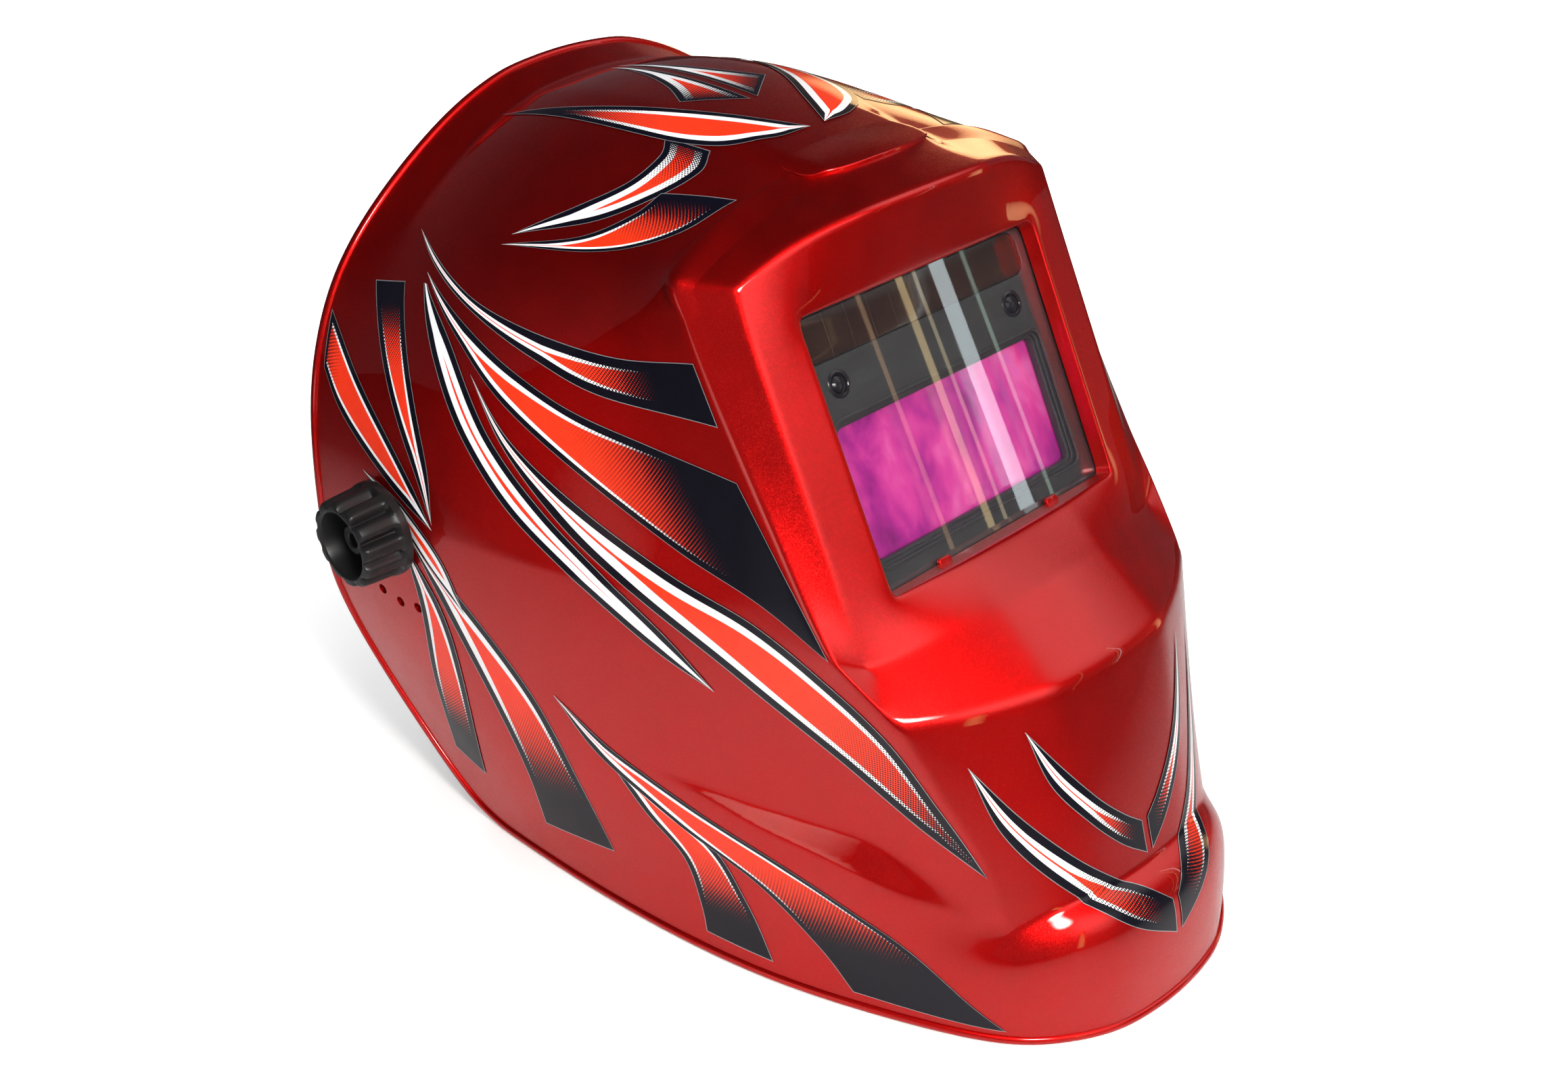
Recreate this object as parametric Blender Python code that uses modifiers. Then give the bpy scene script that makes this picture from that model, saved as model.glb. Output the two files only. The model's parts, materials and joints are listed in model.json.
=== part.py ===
"""Auto-darkening welding helmet: shell, lens cartridge, tilt knobs and ratchet
headgear, as separate solids. Metres, +Z up, -Y the front, resting on its rim."""
import math

import bpy
import bmesh
from mathutils import Matrix, Vector

for _ob in list(bpy.data.objects):
    bpy.data.objects.remove(_ob, do_unlink=True)

# ---------------------------------------------------------------- frame and sizes
# Sizes are given in millimetres from the centre of the lens opening and are
# moved into the resting frame (metres, +Z up, -Y the front) by place().
MM = 0.001
OPENING_Y = -0.09075            # where the lens opening centre sits in the resting frame
OPENING_Z = 0.178             # height of the lens opening centre over the table
LENS_TILT = math.radians(27.5)

OPEN_W = 106.0                # lens opening
OPEN_H = 87.0
REVEAL = 5.0                  # depth of the wall round the opening
SHELL_T = 2.5                 # shell wall
PIVOT_Y = 147.0               # tilt pivot, behind and below the opening centre
PIVOT_Z = -57.0
PIVOT_X = 118.0


def place(x, y, z):
    return Vector((x * MM, OPENING_Y + y * MM, OPENING_Z + z * MM))


def lens(x, back, up):
    """A point in the tilted frame of the lens opening, in millimetres."""
    c, s = math.cos(LENS_TILT), math.sin(LENS_TILT)
    return (x, c * back + s * up, -s * back + c * up)


def table(stations, t):
    """Smooth reading of a short table of stations."""
    n = len(stations)
    if t <= stations[0][0]:
        return stations[0][1]
    if t >= stations[-1][0]:
        return stations[-1][1]
    for i in range(n - 1):
        x0, y0 = stations[i]
        x1, y1 = stations[i + 1]
        if x0 <= t <= x1:
            h = x1 - x0
            m0 = (y1 - y0) / h if i == 0 else (y1 - stations[i - 1][1]) / (x1 - stations[i - 1][0])
            m1 = (y1 - y0) / h if i == n - 2 else (stations[i + 2][1] - y0) / (stations[i + 2][0] - x0)
            u = (t - x0) / h
            return ((2 * u ** 3 - 3 * u ** 2 + 1) * y0 + (u ** 3 - 2 * u ** 2 + u) * h * m0
                    + (-2 * u ** 3 + 3 * u ** 2) * y1 + (u ** 3 - u ** 2) * h * m1)


# half width of the shell at pivot height and at the resting rim, along Y
WIDTH_PIVOT = [(-60, 62), (-30, 76), (0, 85), (30, 90), (60, 98.5), (95, 109.5), (125, 116), (150, 118.5), (190, 119)]
WIDTH_RIM = [(-68, 62), (-39, 76), (0, 89), (22, 95), (64, 100), (94, 102), (150, 106), (190, 110)]
# crown height on the centre plane and the squareness of the cross-section
CROWN = [(41, 66), (60, 69.5), (85, 74), (115, 75.5), (148, 72.5), (172, 66), (188, 69.5)]
SQUARE = [(41, 3.2), (80, 2.65), (115, 2.35), (148, 2.15), (172, 2.0), (188, 2.05)]
RIM_Z = -179.0                # cage height of the resting rim, trimmed flat at FLOOR_Z
FLOOR_Z = -178.0
SPRING_Z = -50.0              # height where the crown arch springs from the sides


# the side crease, where the lower wall meets the upper wall that leans in
CREASE = [(-9, -38), (0, -43), (38, -47), (80, -51), (111, -51), (186, -49)]
LEAN = [(-10, 0.8), (92, 0.8), (128, 0.0), (190, 0.0)]      # how straight the wall above the crease is
SHOULDER = [(45, 50.5), (77, 47), (112, 42), (146, 35), (171, 28), (188, 29)]


def oval_x(y, z):
    n = table(SQUARE, y)
    top = table(CROWN, y)
    k = min(0.999, max(0.0, (z - SPRING_Z) / (top - SPRING_Z)))
    return table(WIDTH_PIVOT, y) * (1 - k ** n) ** (1 / n)


def side_x(y, z):
    """Half width of the side wall at a point of the side."""
    w = table(WIDTH_PIVOT, y)
    low = table(CREASE, y)
    if z <= low:
        k = min(1.0, (low - z) / 128.0)
        return w + (table(WIDTH_RIM, y) - w) * k * k
    x = oval_x(y, z)
    high = table(SHOULDER, y)
    if z >= high:
        return x
    t = (z - low) / (high - low)
    straight = w + (oval_x(y, high) - w) * t
    ease = max(0.0, (t - 0.55) / 0.45)
    return x + (straight - x) * table(LEAN, y) * (1 - ease * ease * (3 - 2 * ease))


def crown_z(x, y):
    n = table(SQUARE, y)
    top = table(CROWN, y)
    w = table(WIDTH_PIVOT, y)
    return SPRING_Z + (top - SPRING_Z) * (1 - (x / w) ** n) ** (1 / n)


def shell_cage():
    """Half of the shell, x >= 0, as a coarse cage for subdivision.

    Three patches meet at the shoulder corner: the crown (x by y), the
    side (y by height) and the front (x by height)."""
    pts, faces, crease = [], [], {}

    def add(p):
        pts.append(place(*p))
        return len(pts) - 1

    def edge(a, b, w):
        crease[(min(a, b), max(a, b))] = w

    def line(ids, w):
        for a, b in zip(ids[:-1], ids[1:]):
            edge(a, b, w)

    # front patch, from the step arch over the lens box down to the lip rim
    half = OPEN_W / 2
    top = OPEN_H / 2
    rows = [
        [(0, 38.5, 71), (22.5, 40.5, 69.5), (29, 49, 66), (53, 48, 63), (79, 45.5, 50.5)],
        [(0, 15, 66.5), (22.5, 17, 65.5), (29, 18.5, 65), (51, 25, 60), (69, 29, 50)],
        [lens(0, -3.5, top), lens(22.5, -3.2, top), lens(27, -3, top), lens(half, -0.5, top),
         lens(69.6, 3.2, 43.5), (79, 35.5, 31)],
        [lens(0, -3.5, 0), lens(22.5, -3.2, 0), lens(27, -3, 0), lens(half, -0.5, 0),
         lens(69.2, 3.3, 0), (78.8, 12.5, -4)],
        [lens(0, -3.5, -top), lens(22.5, -3.2, -top), lens(27, -3, -top), lens(half, -0.5, -top),
         lens(68.9, 3.4, -43.5), (78.4, -9, -36)],
        [(0, -42, -45), (22.5, -40, -46.5), (27, -39, -47), (51, -32, -51), (68.5, -24.5, -54), (78, -20, -50)],
        [(0, -66, -62), (24, -63.5, -63), (30, -61.5, -63.5), (54, -50.5, -66), (71, -39, -67)],
        [(0, -76, -96), (20, -74, -96), (28, -71.5, -96), (48, -61.5, -96), (61, -52.5, -97)],
        [(0, -82, -119), (17, -81, -119), (26, -79, -119), (40, -72.5, -119), (52, -64.5, -119)],
        [(0, -86, -131), (17, -85, -131), (27, -82.5, -131), (40, -78, -133), (54, -69, -141)],
        [(0, -99.5, -137), (20, -97.5, -137), (31, -94, -138), (47.5, -86, -142), (61, -70, -155)],
        [(0, -102, RIM_Z), (22, -99.5, RIM_Z), (33, -95.5, RIM_Z), (51, -84, RIM_Z), (62.5, -68, RIM_Z)],
    ]
    front = [[add(p) for p in r] for r in rows]
    front[1].append(front[0][4])          # the shoulder corner closes both bands
    # the reveal wall inside the opening
    deep = REVEAL
    inner = {}
    for r, up in ((2, top - 0.6), (3, 0.0), (4, -top + 0.6)):
        for c, x in ((0, 0.0), (1, 22.5), (2, 27.0), (3, half - 0.6)):
            if r == 3 and c != 3:
                continue
            inner[(r, c)] = add(lens(x, deep, up))

    def quad(a, b, c, d):
        ids = [a, b, c, d]
        out = []
        for i in ids:
            if i not in out:
                out.append(i)
        faces.append(out)

    # side patch boundaries
    col = [front[0][4], front[2][5], front[3][5], front[4][5], front[5][5]] + [front[r][4] for r in range(6, 12)]
    nj = len(col)
    rear = [(93, 187.5, 29), (109, 187, 4), (117, 186.5, -23), (119.3, 186, -49), (119.3, 187, -72), (117.5, 188, -93),
            (113.5, 183, -114), (109.5, 170, -136), (106, 153, -157), (104.5, 139, -170), (103, 124, RIM_Z)]
    shoulder_y = [45.5, 77, 112, 146, 171, 188.5]
    shoulder_z = [50.5, 47, 42, 35, 28, 29]
    base = [(62.5, -68, RIM_Z), (76.5, -39, RIM_Z), (89.5, -5, RIM_Z), (97.5, 34, RIM_Z), (102, 78, RIM_Z),
            (103, 124, RIM_Z)]
    ni = len(base)
    fpt = [Vector(((pts[i].x) / MM, (pts[i].y - OPENING_Y) / MM, (pts[i].z - OPENING_Z) / MM)) for i in col]
    side = [[None] * nj for _ in range(ni)]
    for i in range(ni):
        u = i / (ni - 1)
        for j in range(nj):
            v = j / (nj - 1)
            if i == 0:
                side[i][j] = col[j]
                continue
            if i == ni - 1:
                side[i][j] = add(rear[j])
                continue
            if j == nj - 1:
                side[i][j] = add(base[i])
                continue
            if j == 0:
                y, z = shoulder_y[i], shoulder_z[i]
                side[i][j] = add((side_x(y, z), y, z))
                continue
            yz = []
            for k, tops in ((1, shoulder_y), (2, shoulder_z)):
                lo = tops[i] * (1 - v) + base[i][k] * v
                lf = fpt[j][k] * (1 - u) + rear[j][k] * u
                cn = ((1 - u) * (1 - v) * tops[0] + u * (1 - v) * tops[-1]
                      + (1 - u) * v * base[0][k] + u * v * base[-1][k])
                yz.append(lo + lf - cn)
            if j == 3:
                yz[1] = table(CREASE, yz[0])
            x = side_x(*yz)
            if i == 1:                      # ease the wall into the front column
                x = 0.6 * x + 0.4 * (fpt[j][0] * 0.55 + side_x(*yz) * 0.45)
            side[i][j] = add((x, yz[0], yz[1]))
    for i in range(ni - 1):
        for j in range(nj - 1):
            quad(side[i][j], side[i + 1][j], side[i + 1][j + 1], side[i][j + 1])

    # crown patch
    crown = [[front[0][c] for c in range(4)] + [side[0][0]]]
    for i in range(1, ni):
        y = shoulder_y[i]
        row = []
        for c, x in enumerate((0.0, 22.5, 29.0, 53.0)):
            z = crown_z(x, y)
            if c < 2 and i == 1:
                z += 0.8
            row.append(add((x, y, z)))
        row.append(side[i][0])
        crown.append(row)
    for i in range(ni - 1):
        for c in range(4):
            quad(crown[i][c], crown[i][c + 1], crown[i + 1][c + 1], crown[i + 1][c])

    # front faces
    for r in range(len(rows) - 1):
        for c in range(5):
            if r in (2, 3) and c < 3:
                continue                    # the lens opening
            if c == 4:
                if r == 0 or r >= 6:
                    continue
                if r == 5:                  # ledge cheek
                    faces.append([front[5][4], front[5][5], front[6][4]])
                    continue
            a, b = front[r], front[r + 1]
            quad(a[c], b[c], b[c + 1], a[c + 1])
    for c in range(3):
        faces.append([front[2][c], front[2][c + 1], inner[(2, c + 1)], inner[(2, c)]])
        faces.append([front[4][c + 1], front[4][c], inner[(4, c)], inner[(4, c + 1)]])
    faces.append([front[2][3], front[3][3], inner[(3, 3)], inner[(2, 3)]])
    faces.append([front[3][3], front[4][3], inner[(4, 3)], inner[(3, 3)]])

    # creases
    line([front[0][c] for c in range(2, 5)], 0.88)                # step arch
    line([front[0][c] for c in range(0, 3)], 0.9)                # front of the raised pad
    line([crown[i][1] for i in range(0, 2)], 0.75)
    line([crown[i][2] for i in range(0, 2)], 0.75)
    line([front[1][c] for c in range(5)], 0.78)                   # face arch
    line([front[r][4] for r in (1, 2, 3, 4, 5)], 0.82)             # face side edge
    line(col[:5], 0.92)                                           # step line
    edge(front[0][4], front[1][4], 0.6)
    line([side[i][3] for i in range(0, 5)], 0.6)                 # side crease
    line([front[5][c] for c in range(5)], 0.82)                    # bottom of the box
    edge(front[5][4], front[5][5], 0.7)
    edge(front[5][5], front[6][4], 0.85)
    line([front[6][c] for c in range(5)], 0.85)                    # ledge
    line([front[r][4] for r in (6, 7, 8, 9)], 0.6)               # chin edge
    line([front[9][c] for c in range(5)], 0.8)                    # chin to lip
    opening = [front[2][c] for c in range(4)] + [front[3][3]] + [front[4][c] for c in (3, 2, 1, 0)]
    line(opening, 0.82)
    wall = [inner[(2, c)] for c in range(4)] + [inner[(3, 3)]] + [inner[(4, c)] for c in (3, 2, 1, 0)]
    line(wall, 0.9)
    for r in (2, 4):
        edge(front[r][3], inner[(r, 3)], 0.8)
    line([crown[ni - 2][c] for c in range(4)], 0.8)               # root of the rear flange
    edge(crown[ni - 2][3], crown[ni - 2][4], 0.5)
    return pts, faces, crease




# ---------------------------------------------------------------- helpers
ROOT = bpy.data.collections.new("welding_helmet")
CUTTERS = bpy.data.collections.new("cutters")
bpy.context.scene.collection.children.link(ROOT)
bpy.context.scene.collection.children.link(CUTTERS)

LENS_M = Matrix.Translation(place(0, 0, 0)) @ Matrix.Rotation(-LENS_TILT, 4, 'X')
WORLD_M = Matrix.Translation(place(0, 0, 0))

PALETTE = {
    "shell_paint": ((0.32, 0.006, 0.012, 1), 0.22, 0.35),
    "clear_lens": ((0.85, 0.88, 0.9, 1), 0.05, 0.0),
    "black_plastic": ((0.02, 0.02, 0.022, 1), 0.5, 0.0),
    "grey_plastic": ((0.07, 0.07, 0.075, 1), 0.55, 0.0),
    "filter_glass": ((0.25, 0.03, 0.2, 1), 0.05, 0.0),
    "solar_cell": ((0.025, 0.012, 0.01, 1), 0.12, 0.0),
    "sensor_dome": ((0.01, 0.01, 0.012, 1), 0.05, 0.0),
    "circuit_board": ((0.02, 0.12, 0.05, 1), 0.5, 0.0),
    "nickel": ((0.6, 0.6, 0.58, 1), 0.3, 1.0),
    "strap_plastic": ((0.045, 0.045, 0.05, 1), 0.55, 0.0),
    "soft_foam": ((0.03, 0.03, 0.035, 1), 0.95, 0.0),
    "nylon": ((0.75, 0.74, 0.7, 1), 0.5, 0.0),
}


def material(slot):
    mat = bpy.data.materials.get(slot)
    if mat is None:
        mat = bpy.data.materials.new(slot)
        mat.use_nodes = True
        col, rough, metal = PALETTE[slot]
        bsdf = mat.node_tree.nodes["Principled BSDF"]
        bsdf.inputs["Base Color"].default_value = col
        bsdf.inputs["Roughness"].default_value = rough
        bsdf.inputs["Metallic"].default_value = metal
    return mat


def link(name, me, coll=None):
    ob = bpy.data.objects.new(name, me)
    (coll or ROOT).objects.link(ob)
    return ob


def bake(ob):
    """Replace an object's mesh with its evaluated mesh and drop the modifiers."""
    bpy.context.view_layer.update()
    dg = bpy.context.evaluated_depsgraph_get()
    me = bpy.data.meshes.new_from_object(ob.evaluated_get(dg))
    ob.modifiers.clear()
    ob.data = me
    return ob


def cut(ob, cutter, op='DIFFERENCE', solver='EXACT'):
    cutter.hide_render = True
    cutter.display_type = 'WIRE'
    mod = ob.modifiers.new("cut", 'BOOLEAN')
    mod.operation = op
    mod.solver = solver
    mod.object = cutter
    bake(ob)
    bpy.data.objects.remove(cutter, do_unlink=True)
    return ob


def tidy(ob, dist=5e-6):
    bm = bmesh.new()
    bm.from_mesh(ob.data)
    bmesh.ops.remove_doubles(bm, verts=bm.verts, dist=dist)
    bmesh.ops.dissolve_degenerate(bm, edges=bm.edges, dist=dist)
    bmesh.ops.recalc_face_normals(bm, faces=bm.faces)
    bm.to_mesh(ob.data)
    bm.free()
    return ob


def finish(ob, slot, origin=None, smooth=False):
    """Material, collection and origin; origin is a world point on the joint's axis."""
    me = ob.data
    me.transform(ob.matrix_world)
    ob.matrix_world = Matrix.Identity(4)
    if origin is not None:
        me.transform(Matrix.Translation(-Vector(origin)))
        ob.matrix_world = Matrix.Translation(Vector(origin))
    me.materials.clear()
    me.materials.append(material(slot))
    for p in me.polygons:
        p.use_smooth = smooth
    if CUTTERS.objects.get(ob.name):
        CUTTERS.objects.unlink(ob)
        ROOT.objects.link(ob)
    return ob


def block(name, lo, hi, m=None, bevel=0.0, coll=None):
    """A box between two corners in millimetres, in the lens frame or the level frame."""
    bm = bmesh.new()
    bmesh.ops.create_cube(bm, size=1.0)
    for v in bm.verts:
        for k in range(3):
            v.co[k] = ((lo[k] + hi[k]) / 2 + v.co[k] * (hi[k] - lo[k])) * MM
    me = bpy.data.meshes.new(name)
    bm.to_mesh(me)
    bm.free()
    ob = link(name, me, coll)
    if bevel:
        mod = ob.modifiers.new("edge", 'BEVEL')
        mod.width = bevel * MM
        mod.segments = 2
        mod.limit_method = 'ANGLE'
        bake(ob)
    ob.matrix_world = m if m is not None else WORLD_M
    bpy.context.view_layer.update()
    ob.data.transform(ob.matrix_world)
    ob.matrix_world = Matrix.Identity(4)
    return ob


def turned(name, profile, steps, m, coll=None):
    """Revolve a profile of (radius, height) stations, top first, about local Z."""
    me = bpy.data.meshes.new(name)
    closed = profile[0][0] > 1e-6 and profile[-1][0] > 1e-6
    vs = [(r * MM, 0, h * MM) for r, h in profile]
    es = [(i, i + 1) for i in range(len(vs) - 1)]
    if closed:
        es.append((len(vs) - 1, 0))
    me.from_pydata(vs, es, [])
    ob = link(name, me, coll)
    mod = ob.modifiers.new("turn", 'SCREW')
    mod.steps = mod.render_steps = steps
    mod.use_merge_vertices = True
    mod.merge_threshold = 0.00001
    mod.use_normal_calculate = True
    bake(ob)
    tidy(ob)
    ob.data.transform(m)
    return ob


def outline(name, loops, z0, z1, m, coll=None):
    """Extrude flat outlines (first the edge, then any holes) between two heights."""
    cu = bpy.data.curves.new(name, 'CURVE')
    cu.dimensions = '2D'
    cu.fill_mode = 'BOTH'
    cu.extrude = (z1 - z0) / 2 * MM
    for loop in loops:
        sp = cu.splines.new('POLY')
        sp.points.add(len(loop) - 1)
        for p, (x, y) in zip(sp.points, loop):
            p.co = (x * MM, y * MM, 0, 1)
        sp.use_cyclic_u = True
    tmp = link(name + "_c", cu, coll)
    bpy.context.view_layer.update()
    dg = bpy.context.evaluated_depsgraph_get()
    me = bpy.data.meshes.new_from_object(tmp.evaluated_get(dg))
    bpy.data.objects.remove(tmp, do_unlink=True)
    ob = link(name, me, coll)
    tidy(ob, 1e-5)
    ob.data.transform(m @ Matrix.Translation((0, 0, (z0 + z1) / 2 * MM)))
    return ob


def circle(cx, cy, r, n, a0=0.0):
    return [(cx + r * math.cos(a0 + 2 * math.pi * i / n), cy + r * math.sin(a0 + 2 * math.pi * i / n)) for i in range(n)]


def ribbon(name, stations, thickness, coll=None):
    """A strip lofted through (centre, across) stations and thickened evenly."""
    me = bpy.data.meshes.new(name)
    vs, fs = [], []
    for c, w in stations:
        c, w = Vector(c), Vector(w)
        vs += [tuple(place(*(c + w))), tuple(place(*(c - w)))]
    for i in range(len(stations) - 1):
        fs.append((2 * i, 2 * i + 1, 2 * i + 3, 2 * i + 2))
    me.from_pydata(vs, [], fs)
    ob = link(name, me, coll)
    mod = ob.modifiers.new("wall", 'SOLIDIFY')
    mod.thickness = thickness * MM
    mod.offset = 0.0
    mod.use_even_offset = True
    bake(ob)
    return tidy(ob)


def axis_x(side, y=PIVOT_Y, z=PIVOT_Z):
    """Local +Z points outwards along the pivot axis; local X stays forward."""
    rot = Matrix(((0, 0, side, 0), (0, side, 0, 0), (-1, 0, 0, 0), (0, 0, 0, 1)))
    return Matrix.Translation(place(0, y, z)) @ rot


def group(name, at):
    """An empty on a joint's axis that carries the pieces which move together."""
    e = bpy.data.objects.new(name, None)
    e.empty_display_size = 0.02
    e.location = at
    ROOT.objects.link(e)
    return e


def carry(parent, *obs):
    bpy.context.view_layer.update()
    for ob in obs:
        mw = ob.matrix_world.copy()
        ob.parent = parent
        ob.matrix_parent_inverse = parent.matrix_world.inverted()
        ob.matrix_world = mw


# ---------------------------------------------------------------- shell
SHELL_LEVEL = 1
SLOT_R = 1.9
SLOT_RADIUS = 31.0
SLOT_ANGLES = (34.0, 17.0, 0.0, -17.0)     # about straight down, positive to the rear
PEG_SLOT = 0
PIVOT_HOLE_R = 5.6


def slot_at(angle):
    a = math.radians(angle)
    return PIVOT_Y + SLOT_RADIUS * math.sin(a), PIVOT_Z - SLOT_RADIUS * math.cos(a)


def build_shell():
    pts, faces, crease = shell_cage()
    me = bpy.data.meshes.new("shell")
    me.from_pydata([tuple(p) for p in pts], [], faces)
    bm = bmesh.new()
    bm.from_mesh(me)
    lay = bm.edges.layers.float.get('crease_edge') or bm.edges.layers.float.new('crease_edge')
    bm.verts.ensure_lookup_table()
    for (a, b), w in crease.items():
        e = bm.edges.get((bm.verts[a], bm.verts[b]))
        if e is not None:
            e[lay] = w
    bmesh.ops.recalc_face_normals(bm, faces=bm.faces)
    bm.to_mesh(me)
    bm.free()
    ob = link("shell", me)
    mir = ob.modifiers.new("both halves", 'MIRROR')
    mir.use_axis = (True, False, False)
    mir.merge_threshold = 0.0001
    sub = ob.modifiers.new("soft form", 'SUBSURF')
    sub.levels = sub.render_levels = SHELL_LEVEL
    sol = ob.modifiers.new("wall", 'SOLIDIFY')
    sol.thickness = SHELL_T * MM
    sol.offset = -1.0
    sol.use_even_offset = False
    bake(ob)
    tidy(ob)
    # flat resting rim
    cut(ob, block("floor_cut", (-200, -200, FLOOR_Z - 30), (200, 250, FLOOR_Z), coll=CUTTERS))
    # pivot holes and the angle-stop slots
    for side in (-1, 1):
        cut(ob, turned("pivot_cut", [(0, 130), (PIVOT_HOLE_R, 130), (PIVOT_HOLE_R, 95), (0, 95)], 24, axis_x(side), CUTTERS))
        for a in SLOT_ANGLES:
            y, z = slot_at(a)
            cut(ob, turned("slot_cut", [(0, 130), (SLOT_R, 130), (SLOT_R, 95), (0, 95)], 10, axis_x(side, y, z), CUTTERS))
    tidy(ob)
    return finish(ob, "shell_paint", smooth=True)


shell = build_shell()

# ---------------------------------------------------------------- lens cartridge (lens frame: x, back, up)
COVER = (56.0, 46.5, 1.0)
COVER_BACK = REVEAL + 0.4
CART_W, CART_H = 110.0, 90.0
WIN = (-45.0, 46.0, -34.4, 7.6)            # window of the cartridge: x0, x1, up0, up1
FRONT_BACK = 7.3
FRONT_T = 5.2
REAR_BACK = FRONT_BACK + FRONT_T + 0.3
REAR_T = 7.2
SENSOR_X, SENSOR_UP = 40.0, 20.3

cover = finish(block("front_cover_lens", (-COVER[0], COVER_BACK, -COVER[1]), (COVER[0], COVER_BACK + COVER[2], COVER[1]), LENS_M),
               "clear_lens")

front = block("adf_front_housing", (-CART_W / 2, FRONT_BACK, -CART_H / 2), (CART_W / 2, FRONT_BACK + FRONT_T, CART_H / 2), LENS_M, 0.8)
cut(front, block("c", (WIN[0], 0, WIN[2]), (WIN[1], 30, WIN[3]), LENS_M, coll=CUTTERS))
cut(front, block("c", (WIN[0] - 1.5, FRONT_BACK - 2, WIN[2] - 1.5), (WIN[1] + 1.5, FRONT_BACK + 1.2, WIN[3] + 1.5), LENS_M, coll=CUTTERS))
cut(front, block("c", (-50, FRONT_BACK - 2, 27.9), (50.5, FRONT_BACK + 1.7, 42.4), LENS_M, coll=CUTTERS))
for sx in (-1, 1):
    m = LENS_M @ Matrix.Translation((sx * SENSOR_X * MM, 0, SENSOR_UP * MM)) @ Matrix.Rotation(math.radians(90), 4, 'X')
    cut(front, turned("c", [(0, 2), (3.3, 2), (3.3, -30), (0, -30)], 20, m, CUTTERS))
finish(tidy(front), "grey_plastic")

solar = finish(block("solar_cell", (-49.7, FRONT_BACK + 0.3, 28.2), (50.2, FRONT_BACK + 1.4, 42.1), LENS_M), "solar_cell")

for sx, nm in ((-1, "right"), (1, "left")):
    m = LENS_M @ Matrix.Translation((sx * SENSOR_X * MM, FRONT_BACK * MM, SENSOR_UP * MM)) @ Matrix.Rotation(math.radians(90), 4, 'X')
    dome = turned("arc_sensor_" + nm, [(0, 0.35), (1.4, 0.15), (2.4, -0.4), (3.0, -1.4), (3.0, -5.0), (0, -5.0)], 16, m)
    finish(dome, "sensor_dome", smooth=True)

rear = block("adf_rear_housing", (-CART_W / 2, REAR_BACK, -CART_H / 2), (CART_W / 2, REAR_BACK + REAR_T, CART_H / 2), LENS_M, 0.8)
cut(rear, block("c", (-52.5, REAR_BACK - 3, -42.5), (52.5, REAR_BACK + 5.7, 42.5), LENS_M, coll=CUTTERS))
cut(rear, block("c", (WIN[0], REAR_BACK + 2, WIN[2]), (WIN[1], REAR_BACK + 20, WIN[3]), LENS_M, coll=CUTTERS))
DIALS = (("shade_dial", -30.0), ("sensitivity_dial", 0.0), ("delay_dial", 30.0))
DIAL_UP = 26.0
for _, dx in DIALS:
    m = LENS_M @ Matrix.Translation((dx * MM, 0, DIAL_UP * MM)) @ Matrix.Rotation(math.radians(90), 4, 'X')
    cut(rear, turned("c", [(0, 0), (2.4, 0), (2.4, -40), (0, -40)], 16, m, CUTTERS))
finish(tidy(rear), "grey_plastic")

glass = finish(block("adf_filter_glass", (-49, REAR_BACK + 0.3, -39), (50, REAR_BACK + 5.2, 11.5), LENS_M), "filter_glass")
board = finish(block("adf_circuit_board", (-50, REAR_BACK + 0.3, 12.5), (50, REAR_BACK + 1.7, 41), LENS_M), "circuit_board")
for sx, nm in ((-1, "right"), (1, "left")):
    m = LENS_M @ Matrix.Translation((sx * 15 * MM, (REAR_BACK + 2.0) * MM, 30 * MM)) @ Matrix.Rotation(math.radians(90), 4, 'X')
    cell = turned("adf_battery_" + nm, [(0, 0), (9.4, 0), (9.8, -0.4), (9.8, -3.2), (9.4, -3.5), (0, -3.5)], 24, m)
    finish(cell, "nickel", smooth=False)

BACK_FACE = REAR_BACK + REAR_T
inner = finish(block("inner_cover_lens", (-50, BACK_FACE + 0.3, -38), (51, BACK_FACE + 1.3, 11), LENS_M), "clear_lens")

for nm, dx in DIALS:
    at = LENS_M @ Vector((dx * MM, BACK_FACE * MM, DIAL_UP * MM))
    m = Matrix.Translation(at) @ Matrix.Rotation(-LENS_TILT, 4, 'X') @ Matrix.Rotation(math.radians(-90), 4, 'X')
    d = turned(nm, [(0, 3.6), (5.6, 3.6), (6.0, 3.2), (6.0, 0.3), (2.0, 0.3), (2.0, -4.0), (0, -4.0)], 24, m)
    lo, hi = (dx - 0.6, BACK_FACE + 2.9, DIAL_UP - 1.0), (dx + 0.6, BACK_FACE + 6, DIAL_UP + 7)
    cut(d, block("c", lo, hi, LENS_M, coll=CUTTERS))
    finish(tidy(d), "black_plastic", origin=at)

# retainer that clamps the cartridge from behind, on a rod along its top edge
RET_BACK = BACK_FACE + 1.6
RET_T = 4.0
ROD_UP = 52.0
ret = block("cartridge_retainer", (-59, RET_BACK, -50), (59, RET_BACK + RET_T, 55), LENS_M, 0.6)
cut(ret, block("c", (-51, 0, -39), (52, 60, 44), LENS_M, coll=CUTTERS))
rod_at = LENS_M @ Vector((0, (RET_BACK + RET_T / 2) * MM, ROD_UP * MM))
rod_m = Matrix.Translation(rod_at) @ Matrix.Rotation(math.radians(90), 4, 'Y')
cut(ret, turned("c", [(0, 90), (1.15, 90), (1.15, -90), (0, -90)], 16, rod_m, CUTTERS))
finish(tidy(ret), "black_plastic", origin=rod_at)
rod = finish(turned("retainer_hinge_rod", [(0, 64), (0.8, 64), (0.8, -64), (0, -64)], 16, rod_m), "nickel")

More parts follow.
